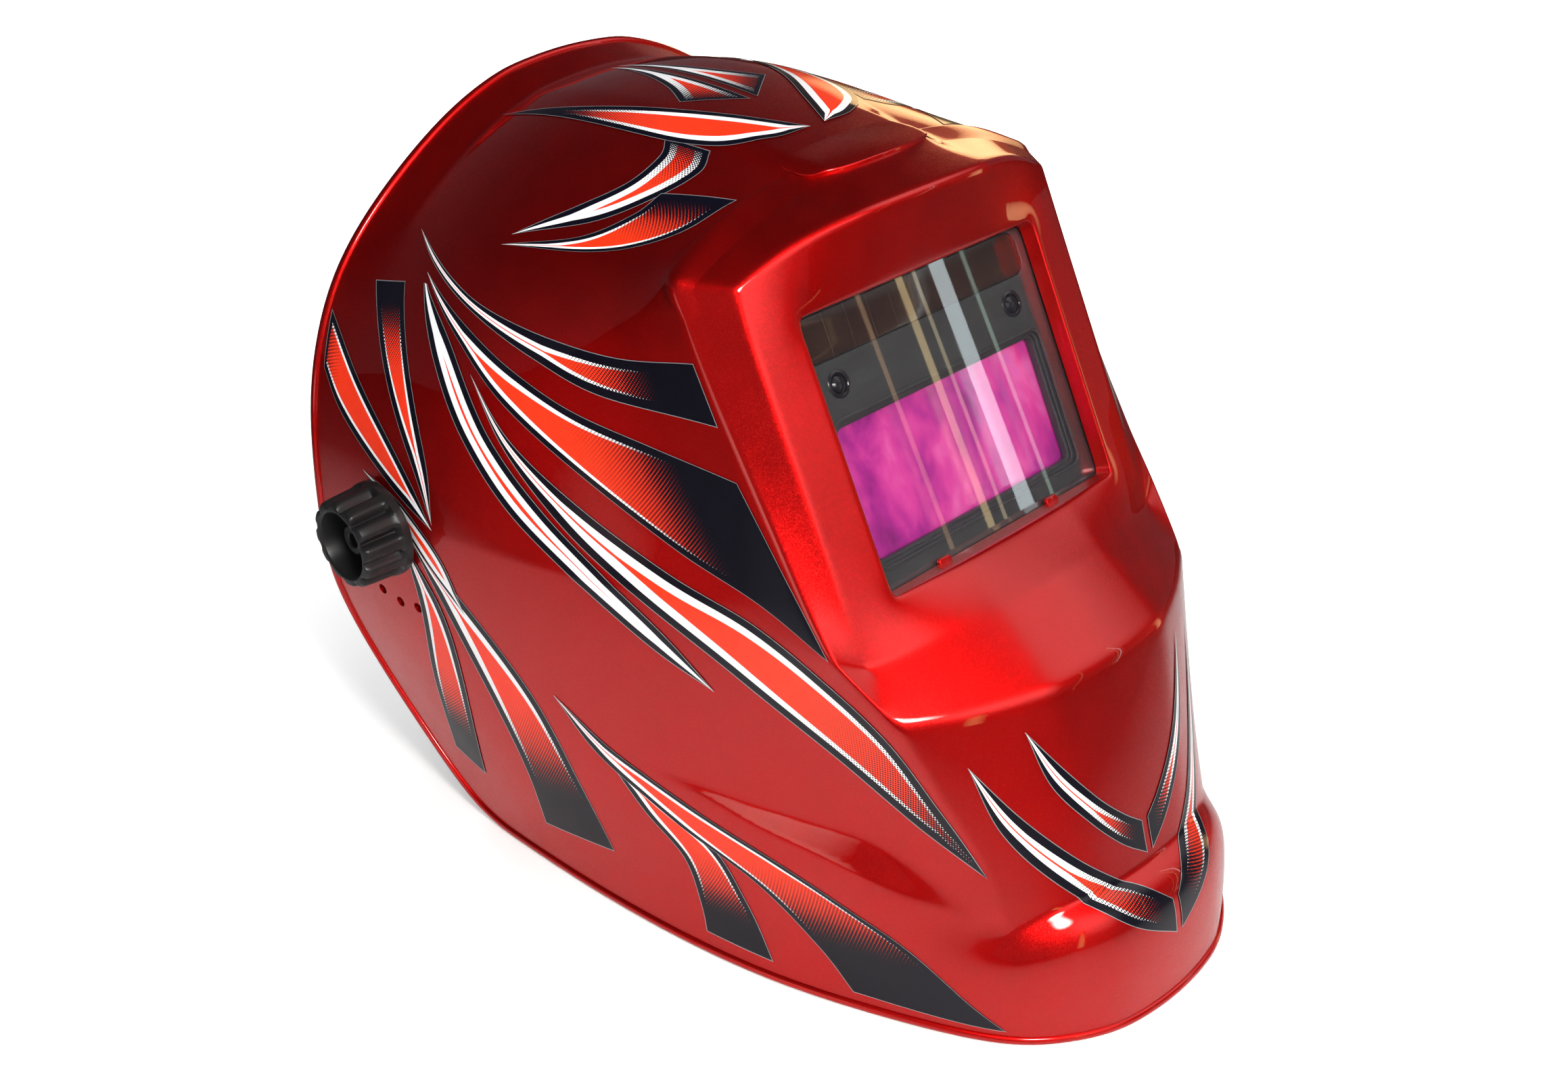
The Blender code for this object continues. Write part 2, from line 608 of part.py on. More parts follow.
# ---------------------------------------------------------------- tilt pivots
KNOB_X = 118.7
KNOB_R = 15.2
KNOB_BASE_R = 16.6
KNOB_L = 17.6
FLUTES = 12
BOLT_R = 5.0
HEAD_X = (101.0, 104.0)
ARM_X = (104.3, 107.3)
STOP_X = (107.6, 109.6)
WASHER_X = (109.9, 112.6)

pivot = place(0, PIVOT_Y, PIVOT_Z)
arms_axis = group("headgear_tilt_axis", pivot)
moving = []
for side, nm in ((-1, "right"), (1, "left")):
    ax = axis_x(side)
    prof = [(0, KNOB_X + 9.5), (1.6, KNOB_X + 9.5), (1.8, KNOB_X + 12.6), (4.6, KNOB_X + 12.6), (5.0, KNOB_X + 12.0),
            (5.2, KNOB_X + 6.6), (10.6, KNOB_X + 6.2), (11.4, KNOB_X + KNOB_L - 0.8), (12.2, KNOB_X + KNOB_L),
            (14.2, KNOB_X + KNOB_L), (KNOB_R, KNOB_X + KNOB_L - 1.2), (KNOB_R + 0.4, KNOB_X + 3.2),
            (KNOB_BASE_R, KNOB_X + 2.6), (KNOB_BASE_R, KNOB_X), (0, KNOB_X)]
    knob = turned("tilt_knob_" + nm, prof, 36, ax)
    cut(knob, turned("c", [(0, KNOB_X + 6.0), (BOLT_R + 0.35, KNOB_X + 6.0), (BOLT_R + 0.35, KNOB_X - 5), (0, KNOB_X - 5)], 20, ax, CUTTERS))
    for i in range(FLUTES):
        a = 2 * math.pi * (i + 0.5) / FLUTES
        m = ax @ Matrix.Translation((17.3 * math.cos(a) * MM, 17.3 * math.sin(a) * MM, 0))
        cut(knob, turned("c", [(0, KNOB_X + 30), (3.4, KNOB_X + 30), (3.4, KNOB_X + 3.0), (0, KNOB_X + 3.0)], 8, m, CUTTERS))
    finish(tidy(knob), "black_plastic", origin=pivot + Vector((side * KNOB_X * MM, 0, 0)))
    bolt = turned("pivot_bolt_" + nm, [(0, KNOB_X + 5.6), (BOLT_R - 0.8, KNOB_X + 5.6), (BOLT_R, KNOB_X + 4.8), (BOLT_R, HEAD_X[1]),
                                       (9, HEAD_X[1]), (9, HEAD_X[0] + 0.6), (8.2, HEAD_X[0]), (0, HEAD_X[0])], 24, ax)
    finish(bolt, "nickel", origin=pivot)
    # angle stop: a washer with one peg through a shell slot
    a = math.radians(SLOT_ANGLES[PEG_SLOT])
    py, pz = SLOT_RADIUS * math.sin(a), -SLOT_RADIUS * math.cos(a)
    lobe = []
    n = 28
    for i in range(n):
        t = 2 * math.pi * i / n
        # local frame of axis_x: x is down, y is side * rearwards
        r = 15.5
        lx, ly = r * math.cos(t), r * math.sin(t)
        lobe.append((lx, ly))
    dirx, diry = -pz / SLOT_RADIUS, side * py / SLOT_RADIUS
    out = []
    for lx, ly in lobe:
        k = (lx * dirx + ly * diry) / 15.5
        if k > 0.93:
            out.append((lx + dirx * 19.5, ly + diry * 19.5))
        else:
            out.append((lx, ly))
    stop = outline("angle_stop_" + nm, [out, circle(0, 0, BOLT_R + 0.35, 20)], STOP_X[0], STOP_X[1], ax)
    peg_m = ax @ Matrix.Translation((dirx * SLOT_RADIUS * MM, diry * SLOT_RADIUS * MM, 0))
    peg = turned("c", [(0, 121.2), (1.0, 121.2), (1.4, 120.8), (1.4, STOP_X[0] + 0.7), (0, STOP_X[0] + 0.7)], 12, peg_m, CUTTERS)
    cut(stop, peg, 'UNION')
    finish(tidy(stop), "black_plastic")
    wash = turned("friction_washer_" + nm, [(14, WASHER_X[1]), (14, WASHER_X[0]), (BOLT_R + 0.35, WASHER_X[0]), (BOLT_R + 0.35, WASHER_X[1])], 28, ax)
    finish(wash, "nylon")
    # bent arm from the bolt to the headband rail
    xo0, xo1 = ARM_X
    xi0, xi1 = 86.2, 89.2
    y0, y1 = PIVOT_Y - 15, PIVOT_Y + 30
    prof2 = [(xo1, y0), (xo1, y1 - 0.9), (xo1 - 3, y1 + 3), (xi0 + 3, y1 + 3.2), (xi0, y1 - 0.6), (xi0, PIVOT_Y - 10), (xi1, PIVOT_Y - 10),
             (xi1, y1 - 1.4), (xi1 + 1.4, y1), (xo0 - 1.4, y1), (xo0, y1 - 1.4), (xo0, y0)]
    prof2 = [(side * x, y) for x, y in prof2]
    arm = outline("tilt_arm_" + nm, [prof2], PIVOT_Z - 11, PIVOT_Z + 11, WORLD_M)
    cut(arm, turned("c", [(0, 112), (BOLT_R + 0.35, 112), (BOLT_R + 0.35, 96), (0, 96)], 20, ax, CUTTERS))
    finish(tidy(arm), "strap_plastic", origin=pivot)
    moving += [bolt, arm, knob]
carry(arms_axis, *moving)

# ---------------------------------------------------------------- headgear ring, level at rest
RING_Y = 178.0            # head centre
RING_A = 82.0             # half width and rear radius
RING_B = 102.0            # front half length
BAND_Z = -50.0
BAND_H = 22.0
NAPE_Z = -90.0


def ring(a, off=0.0):
    """Point of the headband at angle a (degrees, 0 at +X, 90 rear, -90 front)."""
    t = math.radians(a)
    b = RING_A if math.sin(t) > 0 else RING_B
    x, y = RING_A * math.cos(t), b * math.sin(t)
    nx, ny = x / RING_A ** 2, y / b ** 2
    ln = math.hypot(nx, ny)
    return x + off * nx / ln, RING_Y + y + off * ny / ln


def band(name, a0, a1, n, off, zc, half, thickness, slot, origin=None, coll=None):
    st = []
    for i in range(n + 1):
        a = a0 + (a1 - a0) * i / n
        x, y = ring(a, off)
        z = zc(a) if callable(zc) else zc
        h = half(a) if callable(half) else half
        st.append(((x, y, z), (0, 0, h)))
    ob = ribbon(name, st, thickness)
    return finish(ob, slot, origin=origin) if slot else ob


headgear_axis = group("fore_aft_axis", place(0, PIVOT_Y, PIVOT_Z))
carry(arms_axis, headgear_axis)
front_band = band("headband_front", -218, 38, 40, 0.0, BAND_Z, BAND_H / 2, 2.0, "strap_plastic")
sweat = band("sweatband", -152, -28, 26, -4.1, BAND_Z, 17.0, 5.4, "soft_foam")

rails = []
for side, nm in ((-1, "right"), (1, "left")):
    x0, x1 = sorted((side * 83.5, side * 85.8))
    rail = block("fore_aft_rail_" + nm, (x0, 142, PIVOT_Z - 8), (x1, 208, PIVOT_Z + 8), None, 0.4)
    rails.append(finish(rail, "black_plastic"))

# crown straps over the head, joined by a peg at the top
CROWN_Y = 174.0
CROWN_W = 78.6
CROWN_H = 98.0
CROWN_BASE = -57.0
crown_parts = []
for side, nm, lift in ((-1, "right", 0.0), (1, "left", 2.0)):
    st = []
    n = 20
    for i in range(n + 1):
        t = math.radians(4 + (92.5 - 4 + 4.5) * i / n)
        k = max(0.0, min(1.0, (math.degrees(t) - 60) / 25))
        k = k * k * (3 - 2 * k)
        x = side * CROWN_W * math.cos(t)
        z = CROWN_BASE + (CROWN_H + lift * k) * math.sin(t)
        st.append(((x, CROWN_Y, z), (0, 10 - 1.5 * math.sin(t), 0)))
    cs = ribbon("crown_strap_" + nm, st, 1.5)
    crown_parts.append(cs)
peg_z = CROWN_BASE + CROWN_H
pm = Matrix.Translation(place(0, CROWN_Y, 0))
for cs in crown_parts:
    cut(cs, turned("c", [(0, peg_z + 9), (3.0, peg_z + 9), (3.0, peg_z - 9), (0, peg_z - 9)], 16, pm, CUTTERS))
    finish(tidy(cs), "strap_plastic")
peg = turned("crown_peg", [(0, peg_z + 5.4), (5.0, peg_z + 5.4), (5.6, peg_z + 4.8), (5.6, peg_z + 3.2), (2.6, peg_z + 3.2),
                           (2.6, peg_z - 1.2), (4.6, peg_z - 1.2), (4.0, peg_z - 2.6), (0, peg_z - 2.6)], 20, pm)
finish(peg, "black_plastic")

# rear straps: racks that pass over and under the pinion
STRAP_OFF = 2.3
ratchet_at = place(0, RING_Y + RING_A, NAPE_Z)
straps = []
for side, nm, lane in ((-1, "right", -1), (1, "left", 1)):
    n = 26
    st = []
    for i in range(n + 1):
        a = 27 + (99 - 27) * i / n
        k = max(0.0, min(1.0, (a - 29) / 30.0))
        k = k * k * (3 - 2 * k)
        k2 = max(0.0, min(1.0, (a - 53) / 10.0))
        k2 = k2 * k2 * (3 - 2 * k2)
        z = BAND_Z + (NAPE_Z - BAND_Z) * k + lane * 7.2 * k2
        half = 7.5 - 4.2 * k2
        x, y = ring(a, STRAP_OFF)
        st.append(((side * x, y, z), (0, 0, half)))
    strap = ribbon("rear_strap_" + nm, st, 1.6)
    finish(strap, "strap_plastic", origin=place(0, RING_Y, BAND_Z))
    straps.append(strap)


def arc_solid(name, prof, a0, a1, steps, m=None):
    """Spin a closed (radius, z) outline about the head centre."""
    bm = bmesh.new()
    t = math.radians(a0)
    vs = [bm.verts.new(place(r * math.cos(t), RING_Y + r * math.sin(t), z)) for r, z in prof]
    f = bm.faces.new(vs)
    bmesh.ops.spin(bm, geom=[f] + list(f.edges) + list(f.verts), cent=place(0, RING_Y, 0), axis=(0, 0, 1),
                   angle=math.radians(a1 - a0), steps=steps, use_merge=False, use_duplicate=False)
    bmesh.ops.recalc_face_normals(bm, faces=bm.faces)
    me = bpy.data.meshes.new(name)
    bm.to_mesh(me)
    bm.free()
    return tidy(link(name, me))


HZ = 13.0
plate = arc_solid("ratchet_housing_inner", [(81.0, NAPE_Z - HZ), (82.9, NAPE_Z - HZ), (82.9, NAPE_Z + HZ), (81.0, NAPE_Z + HZ)], 74, 106, 10)
finish(plate, "black_plastic")
cap = arc_solid("ratchet_housing_outer",
                [(83.2, NAPE_Z - HZ), (88.4, NAPE_Z - HZ), (88.4, NAPE_Z + HZ), (83.2, NAPE_Z + HZ), (83.2, NAPE_Z + 11.2),
                 (86.4, NAPE_Z + 11.2), (86.4, NAPE_Z - 11.2), (83.2, NAPE_Z - 11.2)], 74, 106, 10)
rm = Matrix.Translation(place(0, RING_Y, NAPE_Z)) @ Matrix.Rotation(math.radians(-90), 4, 'X')
cut(cap, turned("c", [(0, 100), (3.3, 100), (3.3, 80), (0, 80)], 20, rm, CUTTERS))
finish(tidy(cap), "black_plastic")

pinion = turned("ratchet_pinion", [(0, 95.5), (2.8, 95.5), (2.8, 86.2), (3.2, 86.0), (3.2, 83.5), (0, 83.5)], 20, rm)
finish(pinion, "nylon", origin=ratchet_at)
grip = [((16.2 + 0.9 * math.cos(10 * 2 * math.pi * i / 60)) * math.cos(2 * math.pi * i / 60),
         (16.2 + 0.9 * math.cos(10 * 2 * math.pi * i / 60)) * math.sin(2 * math.pi * i / 60)) for i in range(60)]
rknob = outline("ratchet_knob", [grip], 89.3, 104.6, rm)
edge = rknob.modifiers.new("edge", 'BEVEL')
edge.width = 0.9 * MM
edge.segments = 1
edge.limit_method = 'ANGLE'
edge.angle_limit = math.radians(60)
bake(rknob)
cut(rknob, turned("c", [(0, 96.0), (3.1, 96.0), (3.1, 80), (0, 80)], 20, rm, CUTTERS))
cut(rknob, turned("c", [(0, 120), (11.5, 120), (9.0, 102.2), (0, 102.2)], 24, rm, CUTTERS))
finish(tidy(rknob), "black_plastic", origin=ratchet_at)

pad = band("nape_pad", 62, 118, 14, -5.2, NAPE_Z, 16.0, 6.0, "soft_foam")

ratchet_axis = group("ratchet_axis", ratchet_at)
carry(ratchet_axis, pinion, rknob)
carry(headgear_axis, front_band, sweat, plate, cap, pad, peg, ratchet_axis, *rails, *crown_parts, *straps)

for ob in list(CUTTERS.objects):
    ob.hide_render = True
    ob.display_type = 'WIRE'
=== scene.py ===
"""Looks for the auto-darkening welding helmet. Metres, +Z up, -Y the front."""
import json
import math

import bpy
import bmesh
import numpy as np
from mathutils import Matrix, Vector
from mathutils.bvhtree import BVHTree
from mathutils.interpolate import poly_3d_calc

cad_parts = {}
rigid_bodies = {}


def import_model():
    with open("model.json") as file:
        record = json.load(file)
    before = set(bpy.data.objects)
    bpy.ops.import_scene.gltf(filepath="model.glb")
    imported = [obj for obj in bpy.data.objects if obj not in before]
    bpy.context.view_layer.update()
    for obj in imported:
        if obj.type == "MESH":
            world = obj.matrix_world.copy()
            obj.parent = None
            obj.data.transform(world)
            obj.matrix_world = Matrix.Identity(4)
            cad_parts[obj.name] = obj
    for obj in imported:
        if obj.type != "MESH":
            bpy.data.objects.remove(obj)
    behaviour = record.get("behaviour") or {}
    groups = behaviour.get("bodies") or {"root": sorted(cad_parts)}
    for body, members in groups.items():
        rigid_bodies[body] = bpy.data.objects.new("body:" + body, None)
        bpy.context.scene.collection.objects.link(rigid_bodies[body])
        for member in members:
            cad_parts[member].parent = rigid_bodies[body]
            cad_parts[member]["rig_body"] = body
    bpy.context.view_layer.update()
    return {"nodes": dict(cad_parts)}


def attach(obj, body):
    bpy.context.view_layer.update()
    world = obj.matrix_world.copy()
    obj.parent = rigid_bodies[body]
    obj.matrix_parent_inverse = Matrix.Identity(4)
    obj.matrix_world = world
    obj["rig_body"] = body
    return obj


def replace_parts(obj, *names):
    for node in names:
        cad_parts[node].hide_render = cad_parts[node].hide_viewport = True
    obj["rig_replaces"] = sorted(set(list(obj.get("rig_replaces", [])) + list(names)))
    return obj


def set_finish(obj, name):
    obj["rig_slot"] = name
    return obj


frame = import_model()
SCENE = bpy.context.scene.collection

# ---------------------------------------------------------------- frame and sizes
# Sizes are given in millimetres from the centre of the lens opening and are
# moved into the resting frame (metres, +Z up, -Y the front) by place().
MM = 0.001
OPENING_Y = -0.09075            # where the lens opening centre sits in the resting frame
OPENING_Z = 0.178             # height of the lens opening centre over the table
LENS_TILT = math.radians(27.5)

OPEN_W = 106.0                # lens opening
OPEN_H = 87.0
REVEAL = 5.0                  # depth of the wall round the opening
SHELL_T = 2.5                 # shell wall
PIVOT_Y = 147.0               # tilt pivot, behind and below the opening centre
PIVOT_Z = -57.0
PIVOT_X = 118.0


def place(x, y, z):
    return Vector((x * MM, OPENING_Y + y * MM, OPENING_Z + z * MM))


def lens(x, back, up):
    """A point in the tilted frame of the lens opening, in millimetres."""
    c, s = math.cos(LENS_TILT), math.sin(LENS_TILT)
    return (x, c * back + s * up, -s * back + c * up)


def table(stations, t):
    """Smooth reading of a short table of stations."""
    n = len(stations)
    if t <= stations[0][0]:
        return stations[0][1]
    if t >= stations[-1][0]:
        return stations[-1][1]
    for i in range(n - 1):
        x0, y0 = stations[i]
        x1, y1 = stations[i + 1]
        if x0 <= t <= x1:
            h = x1 - x0
            m0 = (y1 - y0) / h if i == 0 else (y1 - stations[i - 1][1]) / (x1 - stations[i - 1][0])
            m1 = (y1 - y0) / h if i == n - 2 else (stations[i + 2][1] - y0) / (stations[i + 2][0] - x0)
            u = (t - x0) / h
            return ((2 * u ** 3 - 3 * u ** 2 + 1) * y0 + (u ** 3 - 2 * u ** 2 + u) * h * m0
                    + (-2 * u ** 3 + 3 * u ** 2) * y1 + (u ** 3 - u ** 2) * h * m1)


# half width of the shell at pivot height and at the resting rim, along Y
WIDTH_PIVOT = [(-60, 62), (-30, 76), (0, 85), (30, 90), (60, 98.5), (95, 109.5), (125, 116), (150, 118.5), (190, 119)]
WIDTH_RIM = [(-68, 62), (-39, 76), (0, 89), (22, 95), (64, 100), (94, 102), (150, 106), (190, 110)]
# crown height on the centre plane and the squareness of the cross-section
CROWN = [(41, 66), (60, 69.5), (85, 74), (115, 75.5), (148, 72.5), (172, 66), (188, 69.5)]
SQUARE = [(41, 3.2), (80, 2.65), (115, 2.35), (148, 2.15), (172, 2.0), (188, 2.05)]
RIM_Z = -179.0                # cage height of the resting rim, trimmed flat at FLOOR_Z
FLOOR_Z = -178.0
SPRING_Z = -50.0              # height where the crown arch springs from the sides


# the side crease, where the lower wall meets the upper wall that leans in
CREASE = [(-9, -38), (0, -43), (38, -47), (80, -51), (111, -51), (186, -49)]
LEAN = [(-10, 0.8), (92, 0.8), (128, 0.0), (190, 0.0)]      # how straight the wall above the crease is
SHOULDER = [(45, 50.5), (77, 47), (112, 42), (146, 35), (171, 28), (188, 29)]


def oval_x(y, z):
    n = table(SQUARE, y)
    top = table(CROWN, y)
    k = min(0.999, max(0.0, (z - SPRING_Z) / (top - SPRING_Z)))
    return table(WIDTH_PIVOT, y) * (1 - k ** n) ** (1 / n)


def side_x(y, z):
    """Half width of the side wall at a point of the side."""
    w = table(WIDTH_PIVOT, y)
    low = table(CREASE, y)
    if z <= low:
        k = min(1.0, (low - z) / 128.0)
        return w + (table(WIDTH_RIM, y) - w) * k * k
    x = oval_x(y, z)
    high = table(SHOULDER, y)
    if z >= high:
        return x
    t = (z - low) / (high - low)
    straight = w + (oval_x(y, high) - w) * t
    ease = max(0.0, (t - 0.55) / 0.45)
    return x + (straight - x) * table(LEAN, y) * (1 - ease * ease * (3 - 2 * ease))


def crown_z(x, y):
    n = table(SQUARE, y)
    top = table(CROWN, y)
    w = table(WIDTH_PIVOT, y)
    return SPRING_Z + (top - SPRING_Z) * (1 - (x / w) ** n) ** (1 / n)


def shell_cage():
    """Half of the shell, x >= 0, as a coarse cage for subdivision.

    Three patches meet at the shoulder corner: the crown (x by y), the
    side (y by height) and the front (x by height)."""
    pts, faces, crease = [], [], {}

    def add(p):
        pts.append(place(*p))
        return len(pts) - 1

    def edge(a, b, w):
        crease[(min(a, b), max(a, b))] = w

    def line(ids, w):
        for a, b in zip(ids[:-1], ids[1:]):
            edge(a, b, w)

    # front patch, from the step arch over the lens box down to the lip rim
    half = OPEN_W / 2
    top = OPEN_H / 2
    rows = [
        [(0, 38.5, 71), (22.5, 40.5, 69.5), (29, 49, 66), (53, 48, 63), (79, 45.5, 50.5)],
        [(0, 15, 66.5), (22.5, 17, 65.5), (29, 18.5, 65), (51, 25, 60), (69, 29, 50)],
        [lens(0, -3.5, top), lens(22.5, -3.2, top), lens(27, -3, top), lens(half, -0.5, top),
         lens(69.6, 3.2, 43.5), (79, 35.5, 31)],
        [lens(0, -3.5, 0), lens(22.5, -3.2, 0), lens(27, -3, 0), lens(half, -0.5, 0),
         lens(69.2, 3.3, 0), (78.8, 12.5, -4)],
        [lens(0, -3.5, -top), lens(22.5, -3.2, -top), lens(27, -3, -top), lens(half, -0.5, -top),
         lens(68.9, 3.4, -43.5), (78.4, -9, -36)],
        [(0, -42, -45), (22.5, -40, -46.5), (27, -39, -47), (51, -32, -51), (68.5, -24.5, -54), (78, -20, -50)],
        [(0, -66, -62), (24, -63.5, -63), (30, -61.5, -63.5), (54, -50.5, -66), (71, -39, -67)],
        [(0, -76, -96), (20, -74, -96), (28, -71.5, -96), (48, -61.5, -96), (61, -52.5, -97)],
        [(0, -82, -119), (17, -81, -119), (26, -79, -119), (40, -72.5, -119), (52, -64.5, -119)],
        [(0, -86, -131), (17, -85, -131), (27, -82.5, -131), (40, -78, -133), (54, -69, -141)],
        [(0, -99.5, -137), (20, -97.5, -137), (31, -94, -138), (47.5, -86, -142), (61, -70, -155)],
        [(0, -102, RIM_Z), (22, -99.5, RIM_Z), (33, -95.5, RIM_Z), (51, -84, RIM_Z), (62.5, -68, RIM_Z)],
    ]
    front = [[add(p) for p in r] for r in rows]
    front[1].append(front[0][4])          # the shoulder corner closes both bands
    # the reveal wall inside the opening
    deep = REVEAL
    inner = {}
    for r, up in ((2, top - 0.6), (3, 0.0), (4, -top + 0.6)):
        for c, x in ((0, 0.0), (1, 22.5), (2, 27.0), (3, half - 0.6)):
            if r == 3 and c != 3:
                continue
            inner[(r, c)] = add(lens(x, deep, up))

    def quad(a, b, c, d):
        ids = [a, b, c, d]
        out = []
        for i in ids:
            if i not in out:
                out.append(i)
        faces.append(out)

    # side patch boundaries
    col = [front[0][4], front[2][5], front[3][5], front[4][5], front[5][5]] + [front[r][4] for r in range(6, 12)]
    nj = len(col)
    rear = [(93, 187.5, 29), (109, 187, 4), (117, 186.5, -23), (119.3, 186, -49), (119.3, 187, -72), (117.5, 188, -93),
            (113.5, 183, -114), (109.5, 170, -136), (106, 153, -157), (104.5, 139, -170), (103, 124, RIM_Z)]
    shoulder_y = [45.5, 77, 112, 146, 171, 188.5]
    shoulder_z = [50.5, 47, 42, 35, 28, 29]
    base = [(62.5, -68, RIM_Z), (76.5, -39, RIM_Z), (89.5, -5, RIM_Z), (97.5, 34, RIM_Z), (102, 78, RIM_Z),
            (103, 124, RIM_Z)]
    ni = len(base)
    fpt = [Vector(((pts[i].x) / MM, (pts[i].y - OPENING_Y) / MM, (pts[i].z - OPENING_Z) / MM)) for i in col]
    side = [[None] * nj for _ in range(ni)]
    for i in range(ni):
        u = i / (ni - 1)
        for j in range(nj):
            v = j / (nj - 1)
            if i == 0:
                side[i][j] = col[j]
                continue
            if i == ni - 1:
                side[i][j] = add(rear[j])
                continue
            if j == nj - 1:
                side[i][j] = add(base[i])
                continue
            if j == 0:
                y, z = shoulder_y[i], shoulder_z[i]
                side[i][j] = add((side_x(y, z), y, z))
                continue
            yz = []
            for k, tops in ((1, shoulder_y), (2, shoulder_z)):
                lo = tops[i] * (1 - v) + base[i][k] * v
                lf = fpt[j][k] * (1 - u) + rear[j][k] * u
                cn = ((1 - u) * (1 - v) * tops[0] + u * (1 - v) * tops[-1]
                      + (1 - u) * v * base[0][k] + u * v * base[-1][k])
                yz.append(lo + lf - cn)
            if j == 3:
                yz[1] = table(CREASE, yz[0])
            x = side_x(*yz)
            if i == 1:                      # ease the wall into the front column
                x = 0.6 * x + 0.4 * (fpt[j][0] * 0.55 + side_x(*yz) * 0.45)
            side[i][j] = add((x, yz[0], yz[1]))
    for i in range(ni - 1):
        for j in range(nj - 1):
            quad(side[i][j], side[i + 1][j], side[i + 1][j + 1], side[i][j + 1])

    # crown patch
    crown = [[front[0][c] for c in range(4)] + [side[0][0]]]
    for i in range(1, ni):
        y = shoulder_y[i]
        row = []
        for c, x in enumerate((0.0, 22.5, 29.0, 53.0)):
            z = crown_z(x, y)
            if c < 2 and i == 1:
                z += 0.8
            row.append(add((x, y, z)))
        row.append(side[i][0])
        crown.append(row)
    for i in range(ni - 1):
        for c in range(4):
            quad(crown[i][c], crown[i][c + 1], crown[i + 1][c + 1], crown[i + 1][c])

    # front faces
    for r in range(len(rows) - 1):
        for c in range(5):
            if r in (2, 3) and c < 3:
                continue                    # the lens opening
            if c == 4:
                if r == 0 or r >= 6:
                    continue
                if r == 5:                  # ledge cheek
                    faces.append([front[5][4], front[5][5], front[6][4]])
                    continue
            a, b = front[r], front[r + 1]
            quad(a[c], b[c], b[c + 1], a[c + 1])
    for c in range(3):
        faces.append([front[2][c], front[2][c + 1], inner[(2, c + 1)], inner[(2, c)]])
        faces.append([front[4][c + 1], front[4][c], inner[(4, c)], inner[(4, c + 1)]])
    faces.append([front[2][3], front[3][3], inner[(3, 3)], inner[(2, 3)]])
    faces.append([front[3][3], front[4][3], inner[(4, 3)], inner[(3, 3)]])

    # creases
    line([front[0][c] for c in range(2, 5)], 0.88)                # step arch
    line([front[0][c] for c in range(0, 3)], 0.9)                # front of the raised pad
    line([crown[i][1] for i in range(0, 2)], 0.75)
    line([crown[i][2] for i in range(0, 2)], 0.75)
    line([front[1][c] for c in range(5)], 0.78)                   # face arch
    line([front[r][4] for r in (1, 2, 3, 4, 5)], 0.82)             # face side edge
    line(col[:5], 0.92)                                           # step line
    edge(front[0][4], front[1][4], 0.6)
    line([side[i][3] for i in range(0, 5)], 0.6)                 # side crease
    line([front[5][c] for c in range(5)], 0.82)                    # bottom of the box
    edge(front[5][4], front[5][5], 0.7)
    edge(front[5][5], front[6][4], 0.85)
    line([front[6][c] for c in range(5)], 0.85)                    # ledge
    line([front[r][4] for r in (6, 7, 8, 9)], 0.6)               # chin edge
    line([front[9][c] for c in range(5)], 0.8)                    # chin to lip
    opening = [front[2][c] for c in range(4)] + [front[3][3]] + [front[4][c] for c in (3, 2, 1, 0)]
    line(opening, 0.82)
    wall = [inner[(2, c)] for c in range(4)] + [inner[(3, 3)]] + [inner[(4, c)] for c in (3, 2, 1, 0)]
    line(wall, 0.9)
    for r in (2, 4):
        edge(front[r][3], inner[(r, 3)], 0.8)
    line([crown[ni - 2][c] for c in range(4)], 0.8)               # root of the rear flange
    edge(crown[ni - 2][3], crown[ni - 2][4], 0.5)
    return pts, faces, crease

LENS_M = Matrix.Translation(place(0, 0, 0)) @ Matrix.Rotation(-LENS_TILT, 4, 'X')
WORLD_M = Matrix.Translation(place(0, 0, 0))


def axis_x(side, y=PIVOT_Y, z=PIVOT_Z):
    """Local +Z points outwards along the pivot axis; local X points down."""
    rot = Matrix(((0, 0, side, 0), (0, side, 0, 0), (-1, 0, 0, 0), (0, 0, 0, 1)))
    return Matrix.Translation(place(0, y, z)) @ rot


